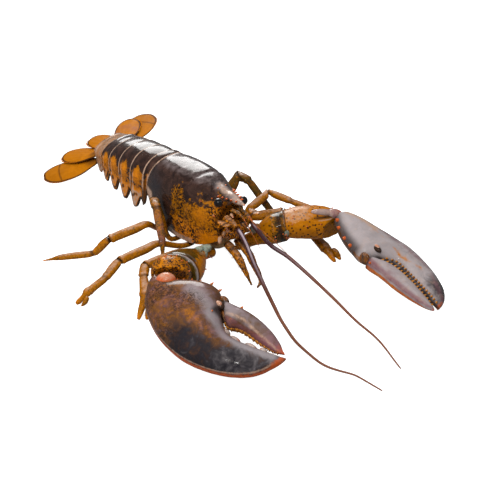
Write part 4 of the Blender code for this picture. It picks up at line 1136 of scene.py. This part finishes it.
    def teeth(self, name, settings):
        """A row of teeth on each edge of a claw's gape: a comb on the slender one, knobs on the heavy one."""
        size = settings.tooth_size
        comb = name == "cutter"
        amber = shell_finish(f"{name.capitalize()} tooth", settings.tooth, shaded(settings.tooth, 0.6),
                             rough=0.3, pits=0.1)
        _, along, across, up = claw_axes(name)
        outward = -across if comb else across
        farthest_edge = 0.012
        bm = bmesh.new()
        for part, way, phase, comb_reach in (("palm", -outward, 1.1, 2.8), ("finger", outward, 0.0, 1.8)):
            tree = skin_tree(f"{name}_{part}")
            place, end = TOOTH_ROWS[name]
            count = 0
            while place < end:
                middle = claw_point(name, place, np.interp(place, *GAPES[name]))
                spot, _ = surface_hit(tree, middle, way, farthest_edge)
                taper = 1.0 - 0.55 * max(0.0, (place - 0.1) / 0.027)
                wave = math.sin(count * 2.3 + phase)
                if spot and comb:
                    edge, _ = surface_hit(tree, spot + way * 0.0012 + up * 0.05, -up)
                    if edge:
                        thorn(bm, edge, up * 0.55 - way * 0.9 + along * 0.2,
                              size * (comb_reach + 0.4 * wave) * taper, size * 0.80, segments=5,
                              tint=(0.0, 0.2))
                elif spot and part == "finger":
                    bulge = size * (0.75 + 0.25 * wave) * taper
                    for row in (-0.00162, 0.00108):
                        lump(bm, spot + up * row, (bulge * 0.62, bulge * 1.1, bulge * 0.8),
                             (along, across, up), 8)
                elif spot:
                    lump(bm, spot, (size * 0.6 * taper, size * 0.7 * taper, size * 0.8),
                         (along, across, up), 8)
                place += size * (2.2 if comb else 0.9)
                count += 1
        finish_piece(piece_from(bm, f"{name}_teeth"), amber, "claw_slate")

    def molars(self, settings):
        """Four broad grinding teeth on the heavy palm."""
        pearl = shell_finish("Crusher molar", settings.pearl, settings.mauve, rough=0.25, pits=0.1)
        _, along, across, up = claw_axes("crusher")
        tree = skin_tree("crusher_palm")
        bm = bmesh.new()
        for place, half_length in MOLARS:
            middle = claw_point("crusher", place, np.interp(place, *GAPES["crusher"]))
            spot, _ = surface_hit(tree, middle, -across)
            lump(bm, spot, (half_length, 0.0026, 0.0040), (along, across, up), 16)
        molars = piece_from(bm, "crusher_molars")
        a = claw_places(molars, "crusher")[0]
        paint(molars, slate=0.35, red=0.65 * (near(a, 0.0955, 0.003) + near(a, 0.1115, 0.003)), pale=0.42)
        finish_piece(molars, pearl, "claw_slate")

    def knobs(self, context):
        """Spines of the heavy palm, beads of the slender one, and knobs, sockets and skin of the hinges."""
        settings = context.scene.lobster_shell
        horn = spiny_finish()
        trees = {node: skin_tree(node) for node in dict.fromkeys(row[0] for row in CLAW_SPINES)}
        bm = bmesh.new()
        for node, start, way, lean, share, radius, tint in CLAW_SPINES:
            name = node.split("_")[0]
            planted(bm, trees[node], claw_point(name, *start), claw_way(name, *way), claw_way(name, *lean),
                    settings.spine * share, radius, tint, square=1.0)
        finish_piece(piece_from(bm, "claw_spines"), horn, "shell_ochre")
        fold_spacing, fold_width = 0.0022, 0.0005
        for label, rows in HINGE_LUMPS.items():
            bm = bmesh.new()
            for name, place, heading, size in rows:
                axes = crossed(claw_way(name, *heading), claw_axes(name)[3])
                lump(bm, claw_point(name, *place), size, axes)
            piece = piece_from(bm, label)
            if label == "hinge_knobs":
                paint(piece, pale=0.75, red=0.4)
            # The sockets are dark lumps that stand for the shade in the hollow round each hinge knob
            elif label == "hinge_sockets":
                paint(piece, dark=0.95)
            else:
                along = claw_places(piece, "crusher")[0]
                fold = near(np.mod(along, fold_spacing), fold_spacing / 2, fold_width)
                paint(piece, ochre=0.45, red=0.3, dark=0.45 + fold * 0.5, orange=0.3)
            finish_piece(piece, horn, "shell_ochre")


class LOBSTER_OT_arms(bpy.types.Operator):
    """Arms and wrist pieces that carry the claws, with their knobs and spines"""
    bl_idname = "lobster.arms"
    bl_label = "Claw arms"

    def execute(self, context):
        shell = context.scene.lobster_shell
        olive = shell_finish("Upper arm shell", shell.olive, shaded(shell.olive, 0.4), rough=0.3, spot=0.0036,
                             net=0.0, dot=0.24)
        netted = shell_finish("Heavy wrist shell", shell.olive, shell.dark, rough=0.3, spot=0.0024)
        dotted = shell_finish("Slim wrist shell", shell.olive, shell.dark, rough=0.3, spot=0.0034, net=0.0,
                              dot=0.27)
        for name, wrist_finish in (("crusher", netted), ("cutter", dotted)):
            arm = swollen(f"{name}_arm", 0.0002, 0.006, 3)
            self.arm_colour(arm, name)
            finish_piece(arm, olive, "shell_ochre", f"{name}_arm")
            wrist = swollen(f"{name}_wrist", 0.0004, 0.005, 4)
            self.wrist_colour(wrist, name)
            finish_piece(wrist, wrist_finish, "shell_ochre", f"{name}_wrist")
        self.knobs(context)
        self.spines(context)
        self.joint_skin(context)
        return {"FINISHED"}

    def arm_colour(self, arm, name):
        """Collar and dark band at an arm's outer end, with the band set in and the collar raised; the band's
        dark is partly the joint's own and partly painted shadow under the collar, and the pale collar takes a
        painted sheen.
        """
        heavy = name == "crusher"
        along, length = course(home_places(arm))
        normals = normals_of(arm.data)
        left = gap_to(arm, f"{name}_wrist")
        inset = 0.0035 if heavy else 0.0
        band = 0.0014 if heavy else 0.0032
        # Dark band: the joint's dark colour and a painted shadow under the raised collar; the pale collar
        # also takes a painted sheen
        dark = near(left, inset + 0.0022 + band, band) * 0.95
        pale = near(left, inset + 0.0008, 0.0011) + near(left, inset + 0.0022 + band * 3, 0.0007) * 0.5
        raise_by(arm, pale * 0.0006 - dark * 0.0004)
        if heavy:
            amber = ease(normals @ np.array(ACROSS_VIEW), 0.35, 0.9)
            paint(arm, ochre=0.30 + amber * 0.35, spots=0.25, orange=amber * 0.5, dark=dark, bloom=pale * 0.9,
                  pale=pale * 0.3)
        else:
            brown = ease(left, 0.022, 0.008)
            paint(arm, ochre=0.72 - 0.25 * brown, spots=ease(along, length * 0.1, length * 0.4), dark=dark,
                  bloom=pale * 0.6, plum=pale * 0.35, orange=0.15)

    def wrist_colour(self, wrist, name):
        """Ochre wrist; the slender one has a plain panel under a dark fold, a pale crease and a painted
        highlight on its upper faces near the arm.
        """
        p = home_places(wrist)
        height = p[:, 2]
        along, length = course(p)
        if name == "crusher":
            paint(wrist, ochre=0.70, spots=1.0, orange=0.4, dark=near(along, 0.001, 0.0025) * 0.8)
        else:
            # Painted highlight on the upper faces
            top = ease(normals_of(wrist.data)[:, 2], 0.3, 0.95)
            panel = ease(along, length * 0.62, length * 0.70) * ease(height, 0.0435, 0.0405)
            fold = near(height, 0.0415, 0.0012) * ease(along, length * 0.40, length * 0.55)
            crease = near(height, 0.0396, 0.0006) * ease(along, length * 0.45, length * 0.6)
            paint(wrist, ochre=0.80 - panel * 0.16, orange=0.3 * (1 - panel),
                  spots=(1 - panel) * ease(along, length * 0.95, length * 0.75),
                  pale=top * 0.52 * ease(along, length * 0.6, length * 0.3) + crease * 0.7,
                  dark=np.maximum(near(along, 0.001, 0.0015) * 0.7, fold * 0.95))

    def knobs(self, context):
        """Big knobs where the wrists meet the palms."""
        for label, rows in WRIST_KNOBS.items():
            bm = bmesh.new()
            for place, size, heading, up, segments in rows:
                lump(bm, HOME + Vector(place), size, crossed(heading, up), segments)
            knob = piece_from(bm, label)
            across, _, height = home_places(knob).T
            # Both knobs take the painted sheen, the slender one strongly
            if label == "crusher_wrist_knob":
                paint(knob, red=0.45 + 0.5 * ease(height, 0.0490, 0.0435), pale=0.9, bloom=0.2)
            else:
                paint(knob, red=0.50 * ease(across, 0.076, 0.084), pale=0.4, bloom=0.7,
                      plum=0.38 + 0.5 * ease(across, 0.072, 0.082), dark=0.5 * ease(height, 0.0395, 0.0375))
            finish_piece(knob, spiny_finish(), "shell_ochre")

    def spines(self, context):
        """Small spines on top of the wrists and on the front of the arms."""
        length = context.scene.lobster_shell.spine
        radius = 0.0008
        picker = random.Random(7)
        bm = bmesh.new()
        for name, count, low in (("crusher", 16, 0.2), ("cutter", 14, 0.3)):
            mesh = bpy.data.objects[f"{name}_wrist_skin"].data
            upper = [vert for vert in mesh.vertices if vert.normal.z > low and vert.normal.y < 0.6]
            for vert in picker.sample(upper, count):
                thorn(bm, vert.co, vert.normal + Vector((0, -0.3, 0.2)), length * picker.uniform(0.35, 0.8),
                      radius, tint=BEAD_TINT)
        for name, count in (("crusher", 6), ("cutter", 8)):
            mesh = bpy.data.objects[f"{name}_arm_skin"].data
            front = [vert for vert in mesh.vertices if -0.5 < vert.normal.z < 0.1 and vert.normal.y < -0.6]
            for vert in picker.sample(front, count):
                thorn(bm, vert.co, vert.normal, length * picker.uniform(0.4, 0.8), radius, tint=BEAD_TINT)
        finish_piece(piece_from(bm, "arm_spines"), spiny_finish(), "shell_ochre")

    def joint_skin(self, context):
        """Soft skin that shows where the arms leave the body and at the slender elbow."""
        shade = context.scene.lobster_shell.teal
        teal = shell_finish("Joint skin", shade, shaded(shade, 2.6), rough=0.3, pits=0.1, mottle=0.002)
        bm = bmesh.new()
        for place, size in JOINT_SKINS:
            lump(bm, HOME + Vector(place), size, crossed((0.8, -0.3, 0.2)), 14)
        skin = piece_from(bm, "joint_skins")
        relief(skin, 0.0006, 0.002, 2)
        paint(skin, pale=0.35, ochre=0.3 + 0.4 * near(home_places(skin)[:, 0], 0.0230, 0.0050))
        finish_piece(skin, teal, "belly_pale")


class LOBSTER_OT_limbs(bpy.types.Operator):
    """Walking legs with their pincers, toes and hairs"""
    bl_idname = "lobster.limbs"
    bl_label = "Walking legs"

    def execute(self, context):
        shell = context.scene.lobster_shell
        finish = shell_finish("Leg shell", shell.olive, shaded(shell.ochre, 0.5), rough=0.32, mottle=0.004,
                              spot=0.0018, pit=0.0009)
        picker = random.Random(3)
        tufts = bmesh.new()
        hands = bmesh.new()
        for leg, joints in LEG_JOINTS.items():
            parts = ("thigh", "shin", "finger") if leg in PINCER_LEGS else ("thigh", "shin")
            pieces = [self.segment(leg, part, joints, picker, tufts) for part in parts]
            finish_piece(joined(leg, pieces), finish, "shell_ochre", *(f"{leg}_{part}" for part in parts))
            if leg in PINCER_LEGS:
                wrist, toe = (Vector(joint) for joint in joints[3:])
                heading = (toe - wrist).normalized()
                level = heading.cross(Vector((0, 0, 1))).normalized()
                lump(hands, HOME + wrist - heading * 0.0004, (0.0046, 0.0044, 0.0031),
                     (heading, level, heading.cross(level)), 16)
        hand = piece_from(hands, "pincer_palms")
        # Painted highlight: the upper faces of the pincer palms are painted pale
        top = ease(normals_of(hand.data)[:, 2], 0.3, 0.95)
        paint(hand, ochre=0.62, spots=0.3, pale=0.42 * top, orange=0.2)
        finish_piece(hand, finish, "shell_ochre")
        tuft = piece_from(tufts, "leg_hairs")
        paint(tuft, ochre=0.6, orange=0.6)
        finish_piece(tuft, finish, "shell_ochre")
        return {"FINISHED"}

    def segment(self, leg, part, joints, picker, tufts):
        """One part of a leg, kept above the ground, with its colours, a painted highlight along its top, and
        the hairs of its outer end.
        """
        piece = refined(f"{leg}_{part}", 2)
        p = home_places(piece)
        along, length = course(p)
        normals = normals_of(piece.data)
        upward = normals[:, 2]
        collar, groove = self.collars(p, joints)
        p, swell = self.thickness(leg, part, joints, p, collar * 0.0007 - groove * 0.0006)
        moved = p + np.array(HOME) + normals * swell[:, None]
        moved[:, 2] = np.maximum(moved[:, 2], 0.0)
        set_places(piece.data, moved)
        toe = ease(along, length * 0.86, length * 0.97) * (part != "thigh")
        dusky = 0.46 * near(along, length * 0.5, length * 0.4) * (leg == "leg_right_4" and part == "shin")
        # Undersides are painted warmer: partly their ochre and partly painted light bounced up from the floor
        under = ease(upward, -0.1, -0.6)
        brown = near(upward, 0.30, 0.30) * (0.5 + 0.5 * lattice_noise(p, 0.008, 9))
        # Shine: a painted highlight along the upper side, in the pale and sheen colours
        shine = ease(upward, 0.72, 0.97)
        paint(piece, ochre=0.60 - LEG_DIMMING.get(leg, 0.0) + 0.2 * toe + 0.15 * under,
              spots=0.40 * (1 - under),
              pale=shine * 0.42 + collar * 0.25, orange=0.15 + 0.3 * collar + toe * 0.5 + 0.3 * under,
              dark=groove * 0.9 + brown * 0.22, bloom=shine * 0.2, plum=dusky)
        if part != "thigh":
            clear_of_ground = 0.0028
            outer = [vert for vert, reach in zip(piece.data.vertices, along)
                     if reach > length * 0.72 and vert.co.z > clear_of_ground]
            tufted(tufts, picker, outer, 18, (0, 0, -0.6), (0.0010, 0.0022), 0.00012)
        return piece

    def thickness(self, leg, part, joints, places, swell):
        """Places of a leg part and how far they swell: fuller at a pincer's palm, longer at the broad one."""
        if leg not in PINCER_LEGS:
            return places, swell
        broad = leg == BROAD_PINCER
        wrist, toe = np.array(joints[3]), np.array(joints[4])
        heading = (toe - wrist) / np.linalg.norm(toe - wrist)
        beyond = (places - wrist) @ heading
        if broad and part == "finger":
            aside = (places - wrist - heading * beyond[:, None]).mean(0)
            root = ease(beyond, 0.008, 0.001)
            stretch = ease(beyond, 0.002, 0.012) * 0.0020 - root * 0.0030
            places = places + heading * stretch[:, None] - aside * 0.55 * root[:, None]
            return places, np.full(len(places), -0.0003)
        swell = swell + ease(beyond, -0.010, 0.001) * (0.0008 if broad else 0.0005)
        return places, swell + ease(beyond, 0.004, 0.011) * (0.0009 if broad else 0.0003)

    def collars(self, places, joints):
        """Raised collar before each joint of a leg and narrow groove behind it."""
        collar, groove = np.zeros(len(places)), np.zeros(len(places))
        for before, joint, after in zip(joints, joints[1:], joints[2:]):
            before, joint, after = np.array(before), np.array(joint), np.array(after)
            heading = (after - before) / np.linalg.norm(after - before)
            beyond = (places - joint) @ heading
            close = np.linalg.norm(places - joint, axis=1) < 0.011
            collar += near(beyond, -0.0018, 0.0014) * close
            groove += near(beyond, 0.0006, 0.0009) * close
        return collar, groove


class LOBSTER_OT_head(bpy.types.Operator):
    """Feelers, scales, mouthparts and eyes"""
    bl_idname = "lobster.head"
    bl_label = "Head"

    def execute(self, context):
        shell = context.scene.lobster_shell
        head = context.scene.lobster_head
        horn = shell_finish("Head shell", shell.olive, shell.dark, rough=0.32, mottle=0.0024, spot=0.0020,
                            dot=0.42)
        plum = feeler_finish("Feeler", head.plum, head.brown, head.ring)
        glass = eye_finish("Eye", head.eye)
        picker = random.Random(11)
        bristles = bmesh.new()
        for side in SIDES:
            for part in ("antenna_base", "antennule", "antenna_scale", "jaw_leg"):
                self.appendage(part, side, horn, picker, bristles)
            feeler = refined(f"antenna_{side}", 2, 120)
            along, _ = course(home_places(feeler), 60)
            reach = feeler.data.attributes.new("reach", "FLOAT", "POINT")
            reach.data.foreach_set("value", along.astype(np.float32))
            paint(feeler, top=ease(normals_of(feeler.data) @ np.array(GLINT_WAY), 0.955, 1.0))
            finish_piece(feeler, plum, "feeler_plum", f"antenna_{side}")
            finish_piece(refined(f"eye_{side}", 3, 120), glass, "eye_black", f"eye_{side}")
        mouth = swollen("mouth_frame", 0.0009, 0.004, 6)
        p = home_places(mouth)
        # Noise scatters painted pale blue highlights over the mouth frame
        paint(mouth, ochre=0.80, spots=1.0, pale=0.1 + 0.45 * lattice_noise(p, 0.0035, 8), orange=1.0,
              bloom=0.1 + 0.5 * lattice_noise(p, 0.004, 3))
        finish_piece(mouth, horn, "shell_ochre", "mouth_frame")
        front = [vert for vert in mouth.data.vertices if vert.normal.y < -0.2]
        tufted(bristles, picker, front, 140, (0, -0.2, -0.5), (0.0014, 0.0030), 0.00014)
        tuft = piece_from(bristles, "mouth_bristles")
        paint(tuft, ochre=0.7, pale=0.3, orange=0.4)
        finish_piece(tuft, horn, "shell_ochre")
        self.face(horn)
        return {"FINISHED"}

    def appendage(self, part, side, horn, picker, bristles):
        """A feeler's base, a short feeler, a scale, or a jaw leg with its bristles."""
        node = f"{part}_{side}"
        whip = part == "antennule"
        band_spacing = 0.0095
        piece = refined(node, 3 if part == "antenna_base" else 2)
        along, _ = course(home_places(piece))
        bands = near(np.mod(along + 0.003, band_spacing), 0.004, 0.0012) * (not whip)
        # Painted highlight: the upper faces are painted pale
        top = ease(normals_of(piece.data)[:, 2], 0.5, 0.98)
        raise_by(piece, -0.0003 * ease(along, 0.010, 0.016) if whip else bands * -0.0005)
        paint(piece, ochre=0.66 - 0.2 * whip, spots=0.85 * (not whip), dark=bands * 0.75 + 0.25 * whip,
              pale=top * 0.40, orange=0.5, red=0.45 * ease(along, 0.012, 0.020) * whip)
        if part == "jaw_leg":
            clear_of_ground = 0.0045
            high = [vert for vert in piece.data.vertices if vert.co.z > clear_of_ground]
            tufted(bristles, picker, high, 90, (0, -0.3, -0.5), (0.0016, 0.0034), 0.00013)
        finish_piece(piece, horn, "shell_ochre", node)

    def face(self, horn):
        """Eye stalks, small spines round the eyes and mouth, and the palps."""
        spines = bmesh.new()
        stalks = bmesh.new()
        brow = (0.002, -0.030, 0.0605)
        for side in SIDES:
            low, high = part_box(f"eye_{side}")
            centre = (low + high) / 2
            inward = (HOME + on_side(side, brow) - centre).normalized()
            lump(stalks, centre + inward * 0.0026, (0.0042, 0.0033, 0.0033), crossed(inward), 16)
            for degrees in (-60, -24, 12, 48, 84):
                angle = math.radians(degrees)
                away = on_side(side, (math.sin(angle), -0.25, -math.cos(angle)))
                thorn(spines, centre + away * 0.0036 + inward * 0.0014, away + Vector((0, -0.7, 0)), 0.0022,
                      0.0008, tint=BEAD_TINT)
        for side in SIDES:
            for place, lean, length in FACE_SPINES:
                thorn(spines, HOME + on_side(side, place), on_side(side, lean), length, 0.0016,
                      tint=(0.1, 0.6))
            for place, size, heading in PALPS:
                lump(stalks, HOME + on_side(side, place), size, crossed(on_side(side, heading)), 12)
        stalk = piece_from(stalks, "eye_stalks")
        p = home_places(stalk)
        # Painted highlights: noise scatters pale blue-white highlights over the stalks and palps, brightest
        # on the low palp
        worn_and_lit = lattice_noise(p, 0.004, 2)
        low_palp = near(p[:, 2], 0.0268, 0.0030)
        paint(stalk, ochre=0.75, spots=0.8 * (1 - low_palp), orange=0.7,
              pale=0.30 + 0.5 * worn_and_lit + 0.3 * low_palp,
              bloom=0.3 * worn_and_lit + 0.5 * low_palp)
        finish_piece(stalk, horn, "shell_ochre")
        finish_piece(piece_from(spines, "face_spines"), spiny_finish(), "shell_ochre")


class LOBSTER_OT_stage(bpy.types.Operator):
    """Pale floor, soft light and the camera"""
    bl_idname = "lobster.stage"
    bl_label = "Stage"

    def execute(self, context):
        settings = context.scene.lobster_stage
        self.ground(settings)
        self.surround(settings)
        for name, place, power, size, gloss in LAMPS:
            lamp = bpy.data.lights.new(name, "AREA")
            lamp.energy = getattr(settings, power)
            lamp.size = size
            holder = self.held(name, lamp, place)
            holder.visible_glossy = gloss
            aim = HOME + Vector(CAMERA_AIM) - holder.location
            holder.rotation_euler = aim.to_track_quat("-Z", "Y").to_euler()
        camera = bpy.data.cameras.new("Camera")
        camera.lens = settings.lens
        holder = self.held("Camera", camera, CAMERA_PLACE)
        holder.rotation_euler = (settings.tilt, 0.0, settings.turn)
        context.scene.camera = holder
        context.scene.view_settings.view_transform = "Standard"
        return {"FINISHED"}

    def held(self, name, data, place):
        """A lamp or camera set in its place."""
        holder = bpy.data.objects.new(name, data)
        holder.location = HOME + Vector(place)
        bpy.context.scene.collection.objects.link(holder)
        return holder

    def ground(self, settings):
        """Pale floor that looks white to the camera and stays out of the gloss."""
        bm = bmesh.new()
        bmesh.ops.create_circle(bm, cap_ends=True, segments=64, radius=8.0)
        floor = piece_from(bm, "floor")
        material, tree, shader = new_material("Floor")
        seen = new_node(tree, "ShaderNodeLightPath").outputs["Is Camera Ray"]
        fill(tree, shader, {"Base Color": settings.floor, "Roughness": 0.9, "Specular IOR Level": 0.1,
                            "Emission Color": (1.0, 1.0, 1.0),
                            "Emission Strength": math_node(tree, "MULTIPLY", seen, settings.glow)})
        floor.data.materials.append(material)
        floor.visible_glossy = False

    def surround(self, settings):
        """White surround that lights softly and looks white to the camera."""
        world = bpy.data.worlds.new("Surround")
        world.use_nodes = True
        tree = world.node_tree
        seen = new_node(tree, "ShaderNodeLightPath").outputs["Is Camera Ray"]
        glow = new_node(tree, "ShaderNodeMapRange", {"Value": seen, "To Min": settings.sky, "To Max": 1.0})
        fill(tree, tree.nodes["Background"],
             {"Color": (0.94, 0.97, 1.0), "Strength": glow.outputs["Result"]})
        bpy.context.scene.world = world


OPERATORS = (LOBSTER_OT_shell, LOBSTER_OT_tail, LOBSTER_OT_fan, LOBSTER_OT_claws, LOBSTER_OT_arms,
             LOBSTER_OT_limbs, LOBSTER_OT_head, LOBSTER_OT_stage)
SETTINGS = {"lobster_shell": LobsterShellSettings, "lobster_claws": LobsterClawSettings,
            "lobster_tail": LobsterTailSettings, "lobster_head": LobsterHeadSettings,
            "lobster_stage": LobsterStageSettings}


class LOBSTER_PT_sidebar(bpy.types.Panel):
    """Lists the lobster's settings and the steps that make it"""
    bl_idname = "LOBSTER_PT_sidebar"
    bl_label = "Lobster"
    bl_space_type = "VIEW_3D"
    bl_region_type = "UI"
    bl_category = "Lobster"

    def draw(self, context):
        for key, kind in SETTINGS.items():
            box = self.layout.box()
            box.label(text=key.replace("lobster_", "").capitalize())
            for name in kind.__annotations__:
                box.prop(getattr(context.scene, key), name)
        for operator in OPERATORS:
            self.layout.operator(operator.bl_idname)


def register():
    """Register the settings, operators and panel."""
    for kind in (*SETTINGS.values(), *OPERATORS, LOBSTER_PT_sidebar):
        bpy.utils.register_class(kind)
    for key, kind in SETTINGS.items():
        setattr(bpy.types.Scene, key, PointerProperty(type=kind))


def unregister():
    """Undo register."""
    for key in SETTINGS:
        delattr(bpy.types.Scene, key)
    for kind in reversed((*SETTINGS.values(), *OPERATORS, LOBSTER_PT_sidebar)):
        bpy.utils.unregister_class(kind)


def main():
    """Make everything in order."""
    register()
    for operator in OPERATORS:
        module, name = operator.bl_idname.split(".")
        getattr(getattr(bpy.ops, module), name)()


if __name__ == "__main__":
    main()
